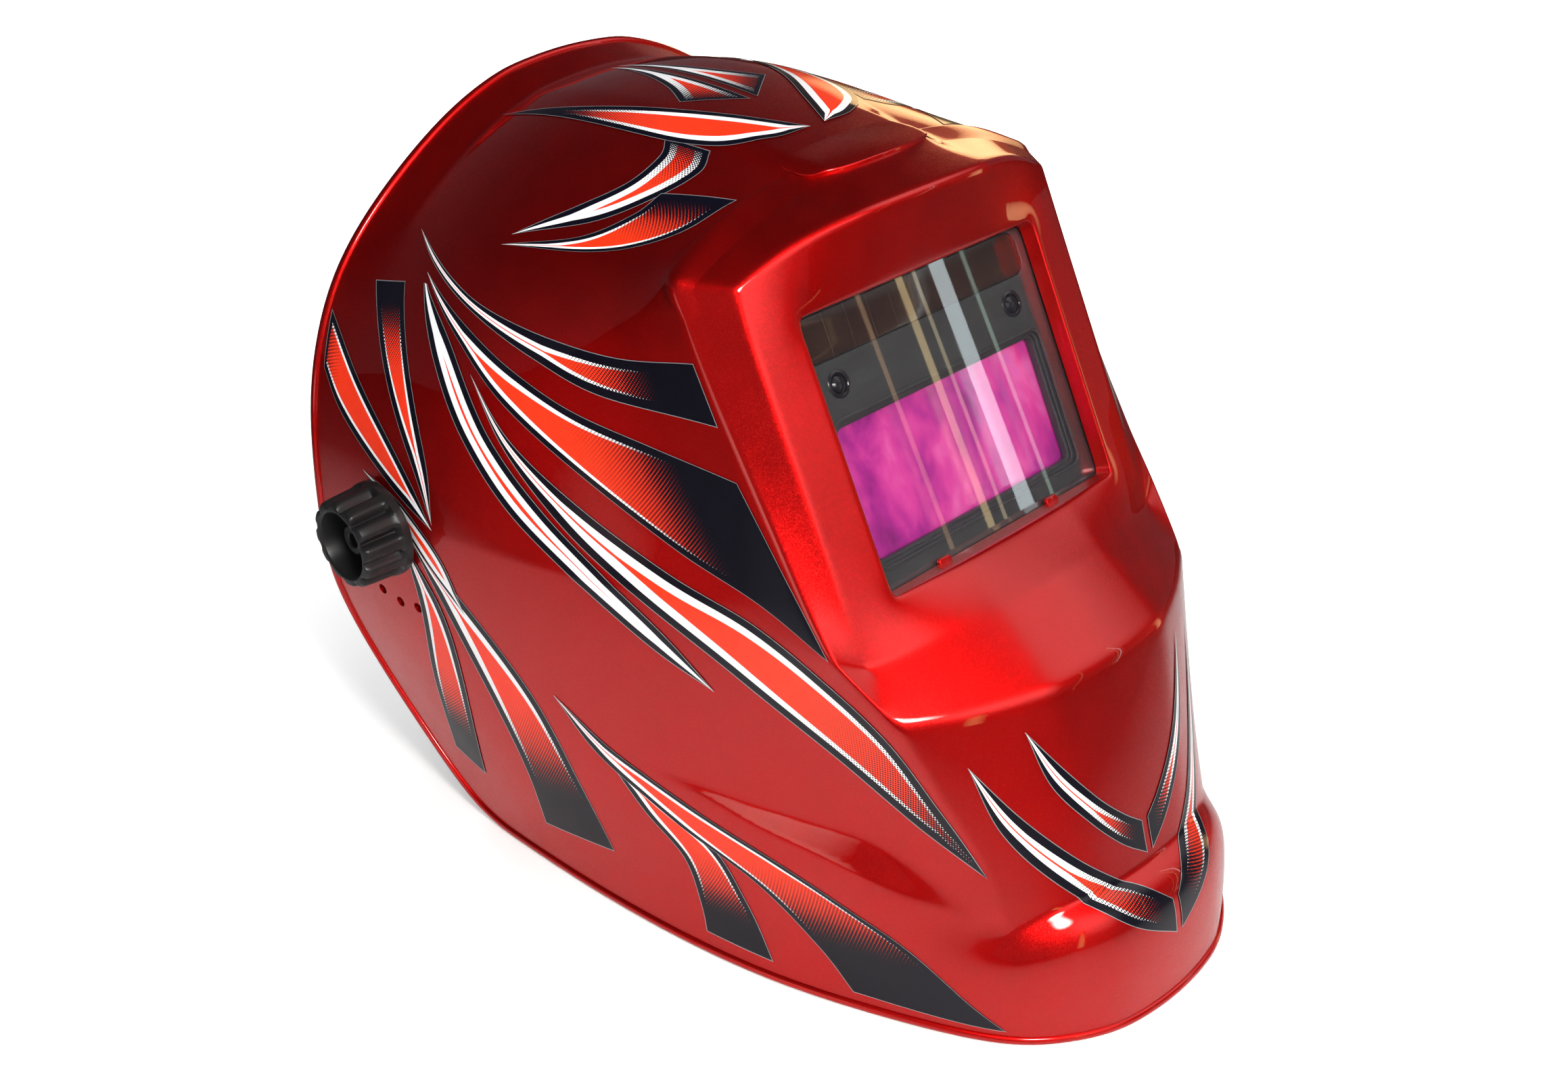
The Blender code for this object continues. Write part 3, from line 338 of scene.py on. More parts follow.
# ---------------------------------------------------------------- node helper
class Mat:
    """Small wrapper that adds nodes and links them as values are given."""

    def __init__(self, name):
        self.mat = bpy.data.materials.new(name)
        self.mat.use_nodes = True
        self.nt = self.mat.node_tree
        self.bsdf = self.nt.nodes["Principled BSDF"]
        self.out = self.nt.nodes["Material Output"]

    def node(self, kind, **kw):
        n = self.nt.nodes.new(kind)
        for k, v in kw.items():
            setattr(n, k, v)
        return n

    def put(self, socket, value):
        if isinstance(value, bpy.types.NodeSocket):
            self.nt.links.new(value, socket)
        elif value is not None:
            socket.default_value = value

    def coord(self, kind="Object"):
        return self.node("ShaderNodeTexCoord").outputs[kind]

    def math(self, op, a, b=None, c=None, clamp=False):
        n = self.node("ShaderNodeMath", operation=op, use_clamp=clamp)
        for s, v in zip(n.inputs, (a, b, c)):
            self.put(s, v)
        return n.outputs[0]

    def vmath(self, op, a, b=None, scale=None):
        n = self.node("ShaderNodeVectorMath", operation=op)
        self.put(n.inputs[0], a)
        if b is not None:
            self.put(n.inputs[1], b)
        if scale is not None:
            self.put(n.inputs["Scale"], scale)
        return n.outputs["Value"] if op in ("LENGTH", "DISTANCE", "DOT_PRODUCT") else n.outputs["Vector"]

    def split(self, v):
        n = self.node("ShaderNodeSeparateXYZ")
        self.put(n.inputs[0], v)
        return n.outputs

    def noise(self, scale, detail=2.0, rough=0.5, vec=None, out=0):
        n = self.node("ShaderNodeTexNoise")
        self.put(n.inputs["Vector"], vec or self.coord())
        n.inputs["Scale"].default_value = scale
        n.inputs["Detail"].default_value = detail
        n.inputs["Roughness"].default_value = rough
        return n.outputs[out]

    def voronoi(self, scale, vec=None, feature="F1", out="Distance"):
        n = self.node("ShaderNodeTexVoronoi", feature=feature)
        self.put(n.inputs["Vector"], vec or self.coord())
        n.inputs["Scale"].default_value = scale
        return n.outputs[out]

    def ramp(self, fac, stops, interp="LINEAR"):
        n = self.node("ShaderNodeValToRGB")
        self.put(n.inputs[0], fac)
        cr = n.color_ramp
        cr.interpolation = interp
        while len(cr.elements) > 1:
            cr.elements.remove(cr.elements[-1])
        for i, (p, c) in enumerate(stops):
            e = cr.elements[0] if i == 0 else cr.elements.new(p)
            e.position = p
            e.color = c if len(c) == 4 else (*c, 1.0)
        return n.outputs[0]

    def span(self, v, a, b, lo, hi, clamp=True):
        n = self.node("ShaderNodeMapRange", clamp=clamp)
        self.put(n.inputs[0], v)
        for i, x in enumerate((a, b, lo, hi)):
            n.inputs[1 + i].default_value = x
        return n.outputs[0]

    def mix(self, fac, a, b):
        n = self.node("ShaderNodeMix", data_type="RGBA")
        self.put(n.inputs[0], fac)
        self.put(n.inputs[6], a)
        self.put(n.inputs[7], b)
        return n.outputs[2]

    def attr(self, name, out="Fac"):
        n = self.node("ShaderNodeAttribute", attribute_name=name)
        return n.outputs[out]

    def bump(self, height, strength=0.3, dist=0.0003, normal=None):
        n = self.node("ShaderNodeBump")
        n.inputs["Strength"].default_value = strength
        n.inputs["Distance"].default_value = dist
        self.put(n.inputs["Height"], height)
        if normal is not None:
            self.put(n.inputs["Normal"], normal)
        return n.outputs[0]

    def set(self, **kw):
        for k, v in kw.items():
            name = k.replace("_", " ")
            self.put(self.bsdf.inputs[name], v)
        return self


def rgb(r, g, b):
    return (r, g, b, 1.0)


def plastic(name, dark, light, rough=0.5, grain=1800, depth=0.00012, wear=0.06, spec=0.5):
    m = Mat(name)
    cloud = m.noise(60, 3, 0.6)
    m.put(m.bsdf.inputs["Base Color"], m.mix(cloud, rgb(*dark), rgb(*light)))
    m.put(m.bsdf.inputs["Roughness"], m.span(m.noise(220, 4, 0.6), 0.3, 0.7, rough - wear, rough + wear))
    fine = m.math("ADD", m.math("MULTIPLY", m.noise(grain, 3, 0.65), 0.6), m.math("MULTIPLY", m.voronoi(grain * 0.8), 0.5))
    m.put(m.bsdf.inputs["Normal"], m.bump(fine, 0.35, depth))
    m.bsdf.inputs["Specular IOR Level"].default_value = spec
    return m.mat


# ---------------------------------------------------------------- materials
def paint_material():
    m = Mat("candy_red_paint")
    co = m.coord()
    cloud = m.noise(18, 3, 0.6, co)
    base = m.mix(cloud, rgb(0.60, 0.003, 0.003), rgb(0.68, 0.004, 0.004))
    cells = m.node("ShaderNodeTexVoronoi", feature="F1")
    m.put(cells.inputs["Vector"], co)
    cells.inputs["Scale"].default_value = 3600
    flake = m.split(cells.outputs["Color"])
    glint = m.span(flake[0], 0.55, 1.0, 0.0, 1.0)
    m.put(m.bsdf.inputs["Base Color"], m.mix(m.math("MULTIPLY", glint, 0.25), base, rgb(0.80, 0.03, 0.02)))
    wob = m.vmath("SCALE", m.vmath("SUBTRACT", cells.outputs["Color"], (0.5, 0.5, 0.5)), scale=0.12)
    geo = m.node("ShaderNodeNewGeometry")
    m.put(m.bsdf.inputs["Normal"], m.vmath("NORMALIZE", m.vmath("ADD", geo.outputs["Normal"], wob)))
    m.set(Metallic=0.95, Coat_Weight=1.0, Coat_Roughness=0.02, Coat_IOR=1.42)
    m.put(m.bsdf.inputs["Roughness"], m.span(m.noise(90, 4, 0.6, co), 0.3, 0.7, 0.42, 0.50))
    peel = m.noise(160, 2, 0.5, co)
    m.put(m.bsdf.inputs["Coat Normal"], m.bump(peel, 0.05, 0.0002))
    return m.mat


def stripe_material():
    m = Mat("printed_stripe")
    ink = m.attr("ink")
    fade = m.attr("fade")
    mm = m.attr("print_mm", "Vector")
    rot = m.node("ShaderNodeVectorRotate", rotation_type="Z_AXIS")
    m.put(rot.inputs["Vector"], mm)
    rot.inputs["Angle"].default_value = 0.7854
    cell = m.vmath("FRACTION", m.vmath("SCALE", rot.outputs[0], scale=1.0 / 0.85))
    xyz = m.split(m.vmath("SUBTRACT", cell, (0.5, 0.5, 0.5)))
    dist = m.math("SQRT", m.math("ADD", m.math("MULTIPLY", xyz[0], xyz[0]), m.math("MULTIPLY", xyz[1], xyz[1])))
    dot = m.math("LESS_THAN", dist, m.math("MULTIPLY", fade, 0.76))
    shade = m.noise(300, 3, 0.6)
    red = m.mix(shade, rgb(0.86, 0.030, 0.006), rgb(0.95, 0.048, 0.012))
    white = m.mix(shade, rgb(0.88, 0.88, 0.90), rgb(0.94, 0.94, 0.96))
    black = m.mix(shade, rgb(0.002, 0.002, 0.006), rgb(0.004, 0.004, 0.010))
    silver = m.mix(shade, rgb(0.34, 0.34, 0.36), rgb(0.48, 0.48, 0.50))
    is_red = m.math("GREATER_THAN", ink, 2.5)
    is_white = m.math("GREATER_THAN", ink, 1.5)
    is_black = m.math("GREATER_THAN", ink, 0.5)
    bright = m.mix(is_red, white, red)
    bright = m.mix(dot, bright, black)
    bright = m.mix(m.span(fade, 0.75, 1.0, 0.0, 1.0), bright, black)
    col = m.mix(is_white, m.mix(is_black, silver, black), bright)
    m.put(m.bsdf.inputs["Base Color"], col)
    m.put(m.bsdf.inputs["Metallic"], m.math("MULTIPLY", m.math("LESS_THAN", ink, 0.5), 0.6))
    m.put(m.bsdf.inputs["Roughness"], m.span(m.noise(120, 3, 0.6), 0.3, 0.7, 0.36, 0.44))
    m.set(Coat_Weight=0.7, Coat_Roughness=0.022, Coat_IOR=1.45, Specular_IOR_Level=0.12)
    m.put(m.bsdf.inputs["Coat Normal"], m.bump(m.noise(160, 2, 0.5), 0.05, 0.0002))
    return m.mat


M_PAINT = paint_material()
M_STRIPE = stripe_material()
M_INSIDE = plastic("shell_inside", (0.020, 0.020, 0.021), (0.034, 0.033, 0.034), 0.55, 900, 0.0002)


# ---------------------------------------------------------------- shell
def link(name, me):
    ob = bpy.data.objects.new(name, me)
    SCENE.objects.link(ob)
    return ob


def bake(ob):
    bpy.context.view_layer.update()
    dg = bpy.context.evaluated_depsgraph_get()
    me = bpy.data.meshes.new_from_object(ob.evaluated_get(dg))
    ob.modifiers.clear()
    ob.data = me
    return ob


def smooth_by_angle(ob, deg=38):
    """Smooth shading with sharp edges over an angle, written into the mesh."""
    me = ob.data
    bm = bmesh.new()
    bm.from_mesh(me)
    lim = math.radians(deg)
    for f in bm.faces:
        f.smooth = True
    for e in bm.edges:
        e.smooth = not (len(e.link_faces) == 2 and e.calc_face_angle(0.0) > lim)
    bm.to_mesh(me)
    bm.free()
    return ob


def relief(co):
    """Outward displacement, in mm, of the wedge on the lower side."""
    y, z = co.y, co.z
    if not (-64 < y < 52 and -178 < z < -105):
        return 0.0
    up = table(WEDGE_UP, y)
    lo = table(WEDGE_LO, y)
    amp = table(WEDGE_H, y)
    if amp <= 0.0 or z > up:
        return 0.0
    if z > lo:
        return amp * (up - z) / max(up - lo, 0.1)
    k = min(1.0, (lo - z) / 42.0)
    return amp * (1 - k * k * (3 - 2 * k))


WEDGE_UP = [(-60, -134.5), (-43, -122.5), (-29, -115.8), (-12, -114.2), (8, -114), (24, -114), (47, -114)]
WEDGE_LO = [(-60, -135.5), (-43, -132), (-29, -127), (-12, -123.5), (8, -120.5), (24, -117), (47, -114.3)]
WEDGE_H = [(-60, 0.0), (-50, 1.3), (-43, 2.6), (-30, 4.2), (-12, 3.3), (8, 2.2), (24, 1.1), (47, 0.0)]


def outer_surface(level):
    pts, faces, crease = shell_cage()
    me = bpy.data.meshes.new("outer")
    me.from_pydata([tuple(p) for p in pts], [], faces)
    bm = bmesh.new()
    bm.from_mesh(me)
    lay = bm.edges.layers.float.get('crease_edge') or bm.edges.layers.float.new('crease_edge')
    bm.verts.ensure_lookup_table()
    for (a, b), w in crease.items():
        e = bm.edges.get((bm.verts[a], bm.verts[b]))
        if e is not None:
            e[lay] = w
    bmesh.ops.recalc_face_normals(bm, faces=bm.faces)
    bm.to_mesh(me)
    bm.free()
    ob = link("outer", me)
    mir = ob.modifiers.new("both halves", 'MIRROR')
    mir.use_axis = (True, False, False)
    mir.merge_threshold = 0.0001
    sub = ob.modifiers.new("soft form", 'SUBSURF')
    sub.levels = sub.render_levels = level
    bake(ob)
    bm = bmesh.new()
    bm.from_mesh(ob.data)
    bm.normal_update()
    floor = place(0, 0, FLOOR_Z)
    moved = []
    for v in bm.verts:
        mm = Vector((v.co.x / MM, (v.co.y - OPENING_Y) / MM, (v.co.z - OPENING_Z) / MM))
        d = relief(mm)
        if d > 0:
            moved.append((v, v.co + v.normal * d * MM))
    for v, co in moved:
        v.co = co
    bmesh.ops.bisect_plane(bm, geom=bm.verts[:] + bm.edges[:] + bm.faces[:], dist=1e-7, plane_co=floor,
                           plane_no=(0, 0, -1), clear_outer=True)
    bm.normal_update()
    for f in bm.faces:
        f.smooth = True
    bm.to_mesh(ob.data)
    bm.free()
    return ob


LEVEL = 4
outer = outer_surface(LEVEL)
bm_o = bmesh.new()
bm_o.from_mesh(outer.data)
bm_o.normal_update()
SHELL_TREE = BVHTree.FromBMesh(bm_o)


def rim_loops(bm):
    """Ordered boundary loops of an open mesh, longest first, as (point, normal) lists."""
    edges = [e for e in bm.edges if e.is_boundary]
    nxt = {}
    for e in edges:
        for v in e.verts:
            nxt.setdefault(v.index, []).append(e)
    seen, loops = set(), []
    for e0 in edges:
        if e0.index in seen:
            continue
        loop, e, v = [], e0, e0.verts[0]
        while e.index not in seen:
            seen.add(e.index)
            loop.append(v)
            v = e.other_vert(v)
            cand = [x for x in nxt[v.index] if x.index not in seen]
            if not cand:
                break
            e = cand[0]
        loops.append([(w.co.copy(), w.normal.copy()) for w in loop])
    loops.sort(key=len, reverse=True)
    return loops


LOOPS = rim_loops(bm_o)


def resample(points, step, closed=True):
    """Even spacing along a polyline."""
    pts = list(points) + ([points[0]] if closed else [])
    d = [0.0]
    for a, b in zip(pts[:-1], pts[1:]):
        d.append(d[-1] + (b - a).length)
    n = max(3, int(round(d[-1] / step)))
    out, j = [], 0
    for i in range(n if closed else n + 1):
        t = d[-1] * i / n
        while j < len(d) - 2 and d[j + 1] < t:
            j += 1
        u = (t - d[j]) / max(d[j + 1] - d[j], 1e-12)
        out.append(pts[j].lerp(pts[j + 1], min(1.0, max(0.0, u))))
    return out


def tube(name, centres, frames, profile, closed=True, smooth=True):
    """Sweep a profile of (u, v) offsets along centres; frames gives (U, V) per centre."""
    bm = bmesh.new()
    rings = []
    for c, (u, v) in zip(centres, frames):
        rings.append([bm.verts.new(c + u * a + v * b) for a, b in profile])
    n, k = len(rings), len(profile)
    for i in range(n if closed else n - 1):
        r0, r1 = rings[i], rings[(i + 1) % n]
        for j in range(k):
            bm.faces.new((r0[j], r0[(j + 1) % k], r1[(j + 1) % k], r1[j]))
    if not closed:
        bm.faces.new(rings[0][::-1])
        bm.faces.new(rings[-1])
    bmesh.ops.recalc_face_normals(bm, faces=bm.faces)
    for f in bm.faces:
        f.smooth = smooth
    me = bpy.data.meshes.new(name)
    bm.to_mesh(me)
    bm.free()
    return link(name, me)


def round_profile(r, n=10, flat=1.0):
    return [(r * math.cos(2 * math.pi * i / n), r * flat * math.sin(2 * math.pi * i / n)) for i in range(n)]


def rim_bead():
    pts = resample([p for p, _ in LOOPS[0]], 0.0028)
    for _ in range(2):
        pts = [(pts[i - 1] + pts[i] * 2 + pts[(i + 1) % len(pts)]) / 4 for i in range(len(pts))]
    centres, frames = [], []
    n = len(pts)
    centre = sum(pts, Vector()) / n
    for i, p in enumerate(pts):
        t = (pts[(i + 1) % n] - pts[i - 1]).normalized()
        hit, nor, _, _ = SHELL_TREE.find_nearest(p)
        nor = (nor - t * nor.dot(t)).normalized()
        side = t.cross(nor).normalized()
        probe = SHELL_TREE.find_nearest(p + side * 0.004)[0]
        if (probe - (p + side * 0.004)).length > (SHELL_TREE.find_nearest(p - side * 0.004)[0] - (p - side * 0.004)).length:
            side = -side
        c = p + side * 0.0016 - nor * 0.0002
        centres.append(c)
        frames.append((nor, side))
    ob = tube("shell_rim_bead", centres, frames, [(a * 1.0, b * 1.15) for a, b in round_profile(0.00135, 12)])
    low = place(0, 0, FLOOR_Z).z
    for v in ob.data.vertices:
        v.co.z = max(v.co.z, low + 0.00005)
    ob.data.materials.append(M_PAINT)
    return ob


bead = rim_bead()
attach(bead, "shell_assembly")
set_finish(bead, "shell_paint")


def cylinder(bm, m, r, h0, h1, n=32):
    a = [bm.verts.new(m @ Vector((r * math.cos(2 * math.pi * i / n) * MM, r * math.sin(2 * math.pi * i / n) * MM, h0 * MM))) for i in range(n)]
    b = [bm.verts.new(m @ Vector((r * math.cos(2 * math.pi * i / n) * MM, r * math.sin(2 * math.pi * i / n) * MM, h1 * MM))) for i in range(n)]
    bm.faces.new(a[::-1])
    bm.faces.new(b)
    for i in range(n):
        bm.faces.new((a[i], a[(i + 1) % n], b[(i + 1) % n], b[i]))


def make_shell():
    ob = link("helmet_shell", outer.data.copy())
    ob.data.materials.clear()
    ob.data.materials.append(M_PAINT)
    ob.data.materials.append(M_INSIDE)
    sol = ob.modifiers.new("wall", 'SOLIDIFY')
    sol.thickness = SHELL_T * MM
    sol.offset = -1.0
    sol.use_even_offset = False
    sol.material_offset = 1
    sol.material_offset_rim = 0
    bake(ob)
    low = place(0, 0, FLOOR_Z).z
    for v in ob.data.vertices:
        v.co.z = max(v.co.z, low)
    bm = bmesh.new()
    for side in (-1, 1):
        cylinder(bm, axis_x(side), PIVOT_HOLE_R, 95, 130)
        for a in SLOT_ANGLES:
            y, z = slot_at(a)
            cylinder(bm, axis_x(side, y, z), SLOT_R, 95, 130, 20)
    bmesh.ops.recalc_face_normals(bm, faces=bm.faces)
    me = bpy.data.meshes.new("holes")
    bm.to_mesh(me)
    bm.free()
    me.materials.append(M_PAINT)
    cutter = link("holes", me)
    mod = ob.modifiers.new("holes", 'BOOLEAN')
    mod.operation = 'DIFFERENCE'
    mod.solver = 'EXACT'
    mod.object = cutter
    bake(ob)
    bpy.data.objects.remove(cutter, do_unlink=True)
    smooth_by_angle(ob, 50)
    return ob


SLOT_R = 1.9
SLOT_RADIUS = 31.0
SLOT_ANGLES = (34.0, 17.0, 0.0, -17.0)
PIVOT_HOLE_R = 5.6


def slot_at(angle):
    a = math.radians(angle)
    return PIVOT_Y + SLOT_RADIUS * math.sin(a), PIVOT_Z - SLOT_RADIUS * math.cos(a)


shell = make_shell()
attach(shell, "shell_assembly")
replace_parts(shell, "shell")
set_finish(shell, "shell_paint")


# ---------------------------------------------------------------- printed stripes
# Each stripe runs from a point between two edges (A and B, mm from the lens
# opening centre, wearer's right side) and is mirrored to the other side.
def chin(x, z):
    """Point of the front surface at a width and a height, in mm."""
    hit = SHELL_TREE.ray_cast(place(x, -200, z), Vector((0, 1, 0)))[0]
    return (x, (hit.y - OPENING_Y) / MM, z)


def top_of(x, y):
    hit = SHELL_TREE.ray_cast(place(x, y, 200), Vector((0, 0, -1)))[0]
    return (x, y, (hit.z - OPENING_Z) / MM)


STRIPES = [
    # edge A, edge B, black band, white line, where the fade to black starts and ends
    ([(-83, 161, 34), (-92, 134, 29), (-94, 114, 25), (-90, 88, 22), (-84, 63, 22), (-79, 36, 28)],
     [(-83, 161, 34), (-91, 143, 29), (-96, 120, 23), (-94, 93, 15), (-88, 67, 9), (-79, 26, 11)], 2.4, 1.7, 0.55, 0.9),
    ([(-93, 145, 27), (-98, 121, 19), (-97, 100, 10), (-92, 77, 2), (-85, 49, -2), (-80, 18, -4)],
     [(-93, 145, 27), (-100, 122, 14), (-100, 100, -2), (-94, 70, -18), (-87, 36, -32), (-82, 6, -40), (-78, -18, -50)], 2.6, 1.9, 0.45, 0.86),
    ([(-102, 114, 5), (-101, 96, -13), (-96, 69, -28), (-89, 38, -40), (-83, 8, -47), (-78, -14, -57), (-71, -35, -73), (-62, -50, -97), (-54, -63, -120)],
     [(-102, 114, 5), (-103, 98, -16), (-100, 74, -36), (-94, 45, -52), (-85, 13, -68), (-75, -20, -87), (-63, -45, -107), (-54, -63, -120)], 2.2, 2.2, 0.60, 1.05),
    ([(-95, 142, 24), (-101, 124, 12), (-104, 104, -13), (-101, 83, -32), (-97, 56, -49), (-92, 37, -62), (-87, 21, -76)],
     [(-95, 144, 24), (-105, 129, 5), (-107, 114, -16), (-106, 95, -35), (-101, 70, -51), (-94, 43, -67), (-87, 21, -76)], 1.8, 1.5, 1.1, 1.4),
    ([(-115, 125, -49), (-113, 127, -30), (-110, 134, -11), (-104, 144, 8), (-96, 154, 22)],
     [(-115, 125, -49), (-114, 133, -32), (-112, 144, -14), (-106, 157, 4), (-97, 169, 18)], 1.9, 0.8, 0.55, 0.95),
    ([(-115, 125, -51), (-115, 134, -37), (-114, 147, -23), (-111, 166, -8), (-106, 183, 6)],
     [(-115, 125, -51), (-116, 139, -44), (-117, 155, -34), (-115, 171, -23), (-113, 181, -12)], 2.0, 0.8, 0.80, 1.1),
    ([(-117, 158, -40), (-116, 139, -46), (-114, 123, -61), (-112, 115, -80)],
     [(-117, 158, -40), (-117, 143, -50), (-115, 128, -67), (-112, 115, -80)], 0.9, 1.2, 1.1, 1.4),
    ([(-117, 140, -60), (-114, 126, -82), (-111, 121, -109), (-106, 121, -153)],
     [(-117, 140, -60), (-115, 136, -86), (-112, 137, -117), (-107, 136, -148)], 1.9, 1.0, 0.5, 0.9),
    ([(-116, 137, -57), (-112, 112, -78), (-106, 89, -104), (-102, 73, -133), (-99, 60, -156)],
     [(-116, 137, -57), (-113, 122, -85), (-109, 107, -115), (-106, 97, -139), (-103, 92, -160)], 2.2, 1.9, 0.5, 0.9),
    ([(-99, 61, -117), (-94, 40, -126), (-90, 19, -136), (-88, 7, -152), (-87, -4, -171)],
     [(-99, 61, -117), (-96, 47, -132), (-94, 31, -144), (-93, 24, -160), (-93, 21, -170)], 1.8, 1.2, 0.5, 0.9),
    ([(-104, 81, -99), (-98, 58, -113), (-91, 28, -123), (-82, -5, -132), (-70, -39, -147), (-56, -76, -173)],
     [(-104, 81, -99), (-100, 64, -117), (-94, 35, -131), (-86, 5, -142), (-81, -18, -159), (-78, -31, -172)], 2.2, 1.8, 0.5, 0.88),
    ([(-3, 64, 72), (-13, 83, 73), (-25, 106, 73), (-35, 136, 69), (-40, 171, 59)],
     [(-3, 64, 72), (-18, 66, 72), (-33, 79, 70), (-40, 107, 69), (-40, 171, 59)], 1.9, 1.8, 0.35, 0.8),
    ([(-80, 117, 44), (-67, 99, 55), (-56, 89, 62), (-44, 88, 67), (-37, 93, 70)],
     [(-80, 117, 44), (-69, 89, 53), (-56, 75, 61), (-43, 71, 66), (-34, 76, 70)], 1.9, 1.8, 0.6, 1.1),
    ([(-83, 119, 41), (-74, 91, 49), (-64, 78, 57), (-55, 75, 62)],
     [(-83, 119, 41), (-77, 88, 46), (-71, 68, 52), (-62, 56, 58), (-46, 52, 64)], 1.9, 1.4, 0.55, 1.0),
    # two chevrons on the chin and the pair of darts on the crown
    ([chin(*p) for p in ((-55, -82), (-43, -101), (-30, -117), (-16, -130), (-1.4, -140))],
     [chin(*p) for p in ((-55, -82), (-49, -105), (-37, -124), (-21, -140), (-1.4, -152))], 2.2, 2.2, 0.45, 1.0),
    ([chin(*p) for p in ((-38, -74), (-28, -89), (-18, -102), (-9, -111), (-1.4, -117))],
     [chin(*p) for p in ((-38, -74), (-33, -93), (-23, -108), (-12, -120), (-1.4, -128))], 1.9, 1.9, 0.45, 1.0),
    ([top_of(*p) for p in ((-1.6, 160), (-1.6, 135), (-1.6, 110), (-1.6, 92))],
     [top_of(*p) for p in ((-1.6, 160), (-6, 140), (-12, 120), (-19, 106))], 1.8, 1.8, 0.5, 1.1),
]


def curve_points(pts, n):
    """Dense points along a smooth curve through the given points, with their running lengths. The argument n is not
    used.
    """
    P = [Vector(p) for p in pts]
    if len(P) == 2:
        P.insert(1, (P[0] + P[1]) / 2)
    fine = []
    for i in range(len(P) - 1):
        p0 = P[i - 1] if i > 0 else P[i] * 2 - P[i + 1]
        p1, p2 = P[i], P[i + 1]
        p3 = P[i + 2] if i + 2 < len(P) else P[i + 1] * 2 - P[i]
        for k in range(24):
            u = k / 24
            fine.append(0.5 * ((2 * p1) + (p2 - p0) * u + (2 * p0 - 5 * p1 + 4 * p2 - p3) * u * u
                               + (3 * p1 - p0 - 3 * p2 + p3) * u ** 3))
    fine.append(P[-1])
    d = [0.0]
    for a, b in zip(fine[:-1], fine[1:]):
        d.append(d[-1] + (b - a).length)
    return fine, d


def at_share(fine, d, t):
    goal = d[-1] * t
    lo, hi = 0, len(d) - 1
    while hi - lo > 1:
        mid = (lo + hi) // 2
        if d[mid] <= goal:
            lo = mid
        else:
            hi = mid
    return fine[lo].lerp(fine[hi], (goal - d[lo]) / max(d[hi] - d[lo], 1e-9))


def on_shell(p):
    """Nearest point of the outer surface and its smooth normal."""
    co, nor, idx, _ = SHELL_TREE.find_nearest(p)
    face = bm_o.faces[idx]
    w = poly_3d_calc([v.co for v in face.verts], co)
    n = Vector()
    for k, v in zip(w, face.verts):
        n += v.normal * k
    return co, n.normalized()


bm_o.faces.ensure_lookup_table()
LIFT = 0.15


